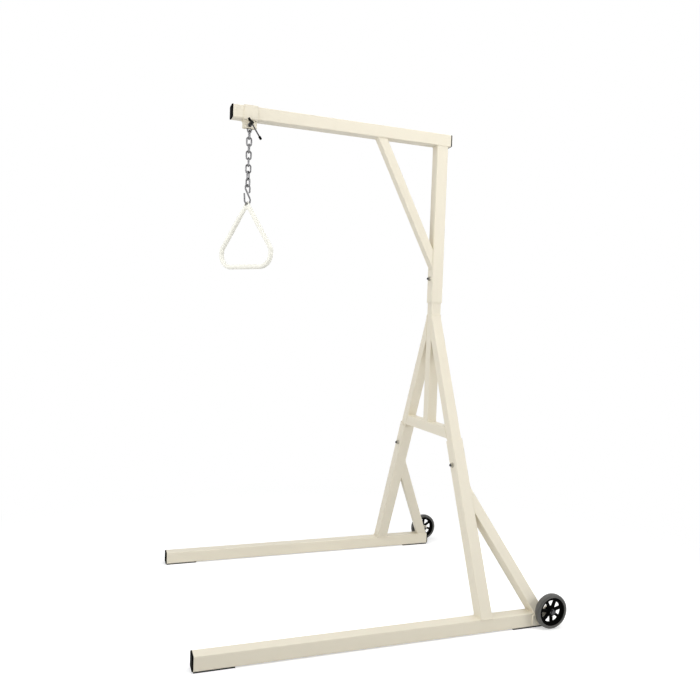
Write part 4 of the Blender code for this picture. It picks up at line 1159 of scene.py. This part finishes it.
# %% Chain
LINK_WIRE_R, LINK_W, LINK_PITCH, LINK_PLAY = 0.00325, 0.025, 0.0267, 0.0005
LINK_TURNS = (90.0, 0.0, 90.0, 0.0, 83.0, -13.0, 55.0, -54.0)
link_in = LINK_PITCH + LINK_PLAY
bow = LINK_W / 2.0 - LINK_WIRE_R
run = link_in / 2.0 + LINK_WIRE_R - bow
first_middle = ring_low + RING_WIRE_R + LINK_PLAY - link_in / 2.0
for number, turn in enumerate(LINK_TURNS):
    middle = first_middle - LINK_PITCH * number
    pairs = arc((0.0, middle + run), bow, 0, 180, 22) + arc((0.0, middle - run), bow, 180, 360, 22)
    across = Vector((math.cos(math.radians(turn)), math.sin(math.radians(turn)), 0.0))
    spot = Vector((CLAMP_X, 0.0, middle)) + across * bow * (1.0 if number % 2 else -1.0)
    wire_piece("chain_link_" + str(number + 1), pairs, turn, LINK_WIRE_R, "link_" + str(number + 1),
               weld_at=spot)
chain_end = middle - link_in / 2.0 - LINK_WIRE_R
print("chain links:", len(LINK_TURNS), "lowest link ends at", round(chain_end, 4))

# %% Hook
HOOK_WIRE_R, HOOK_H, HOOK_TURN = 0.0035, 0.0825, 35.0
HOOK_TOP_R, HOOK_LOW_R, HOOK_TIP_L = 0.0125, 0.016, 0.009
wire_top = chain_end + LINK_WIRE_R + LINK_PLAY + 2 * HOOK_WIRE_R
wire_low = wire_top - HOOK_H
up_c = (0.0, wire_top - HOOK_WIRE_R - HOOK_TOP_R)
low_c = (0.0, wire_low + HOOK_WIRE_R + HOOK_LOW_R)
cross_deg = math.degrees(math.asin((HOOK_TOP_R + HOOK_LOW_R) / (up_c[1] - low_c[1])))
pairs = arc((0.0, up_c[1] - HOOK_TIP_L), HOOK_TOP_R, -38, 0, 8)
pairs += arc(up_c, HOOK_TOP_R, 0, 180 + cross_deg, 40)
pairs += arc(low_c, HOOK_LOW_R, cross_deg, -180, 40)
pairs += [(-HOOK_LOW_R - 0.0008, low_c[1] + 0.012), (-HOOK_LOW_R - 0.0025, low_c[1] + 0.022)]
hook_length = wire_piece("s_hook", pairs, HOOK_TURN, HOOK_WIRE_R, "hook", closed=False)
print("hook wire:", round(hook_length * 1000), "mm")

# %% [markdown]
# ## Handle
# The handle is one plastic moulding, a round bar bent into a triangle with generous corners. At the top the
# bar flattens into a web that is drilled for the hook. An inner and an outer outline with the same number
# of points give the bar's width everywhere, and the thickness fades from round to flat on the way up. The
# two halves of the mould leave a fine seam round the middle of the bar.

# %% Handle outline
HANDLE_TURN, HANDLE_W, HANDLE_H, HANDLE_BAR = -50.5, 0.270, 0.269, 0.019
SHOULDER_H, SHOULDER_R, LOW_CORNER_R, TOP_R, CROTCH_R, WEB_T = 0.0815, 0.033, 0.0605, 0.010, 0.0084, 0.012
EYE_R, EYE_PLAY, EYE_COVER = 0.0075, 0.0014, 0.005
eye_top = wire_low + 2 * HOOK_WIRE_R + EYE_PLAY
handle_top = eye_top + EYE_COVER
handle_low = handle_top - HANDLE_H
slope_w, slope_h = HANDLE_W / 2.0, HANDLE_H - SHOULDER_H - TOP_R
slant = math.acos(TOP_R / math.hypot(slope_w, slope_h)) - math.atan2(slope_h, slope_w)
peak = handle_top + TOP_R * (1.0 / math.sin(slant) - 1.0)


def handle_outline(inset, top_r, steps=14):
    """Five-sided outline with round corners; the same count of points at any inset."""
    tip = peak - inset / math.sin(slant)
    half_w = HANDLE_W / 2.0 - inset
    shoulder_z = tip - half_w / math.tan(slant)
    low_z = handle_low + inset
    shoulder_r, low_r = SHOULDER_R - inset, LOW_CORNER_R - inset
    points = [(0.0, tip), (-half_w, shoulder_z), (-half_w, low_z), (half_w, low_z), (half_w, shoulder_z)]
    radii = [top_r, shoulder_r, low_r, low_r, shoulder_r]
    pairs = folded(points, radii, steps, True)
    shares = [0.04, 0.09, 0.14, 0.20, 0.27, 0.35, 0.45, 0.6, 0.8]
    left = [tuple(a + (b - a) * s for a, b in zip(pairs[steps], pairs[steps + 1])) for s in shares]
    right = [tuple(a + (b - a) * (1.0 - s) for a, b in zip(pairs[-1], pairs[0])) for s in reversed(shares)]
    return pairs[:steps + 1] + left + pairs[steps + 1:] + right


outer_line, normal = stand_up(handle_outline(0.0, TOP_R), HANDLE_TURN)
inner_line, _ = stand_up(handle_outline(HANDLE_BAR, CROTCH_R), HANDLE_TURN)
print("handle's sides slant", round(math.degrees(slant), 1), "degrees from upright")

# %% Handle bar and web
SEAM_HIGH, SEAM_SINE, FADE_BARS = 0.00006, 0.03, 2.5
bar_turns = sorted([math.radians(d) for d in range(10, 360, 10) if d != 180]
                   + [math.radians(d) for d in (-1.2, 1.2, 4.5, 355.5, 175.5, 178.8, 181.2, 184.5)])
fade_from = peak - HANDLE_BAR / math.sin(slant)
rings = []
for out_p, in_p in zip(outer_line, inner_line):
    middle = (out_p + in_p) / 2.0
    share = min(max((fade_from - middle.z) / (FADE_BARS * HANDLE_BAR), 0.0), 1.0)
    share = share * share * (3.0 - 2.0 * share)
    thick = WEB_T + (HANDLE_BAR - WEB_T) * share
    outward = (out_p - middle).normalized()
    half_bar = (out_p - in_p).length / 2.0
    ring = []
    for turn in bar_turns:
        on_seam = abs(math.sin(turn)) < SEAM_SINE
        width = half_bar - (0.0 if on_seam else SEAM_HIGH)
        ring.append(middle + outward * width * math.cos(turn) + normal * thick / 2.0 * math.sin(turn))
    rings.append(ring)
handle = skin("handle_moulded", rings, cream_plastic, "handle", ("handle",), loop=True, sharp_deg=80.0)
print("handle:", round(HANDLE_W * 1000), "by", round(HANDLE_H * 1000), "mm")

# %% Eye
FLARE_R, FLARE_DEEP, EYE_STRAIGHT = 0.0018, 0.0022, 0.0040


def eye_cutter(name, at, axis):
    """A spool: as wide as the eye in the middle, flared where it leaves the web."""
    levels = [(EYE_R + 0.0040, -0.0120), (EYE_R + 0.0022, -0.0075)]
    levels += [(EYE_R + FLARE_R * (1.0 - c), -(EYE_STRAIGHT + FLARE_DEEP * s))
               for s, c in reversed(quarter(5))]
    levels += [(r, -t) for r, t in reversed(levels)]
    return cutter(name, turned_rings(levels, at, axis))


carve(handle, eye_cutter("eye", Vector((CLAMP_X, 0.0, eye_top - EYE_R)), normal))
print("handle faces:", len(handle.data.polygons))
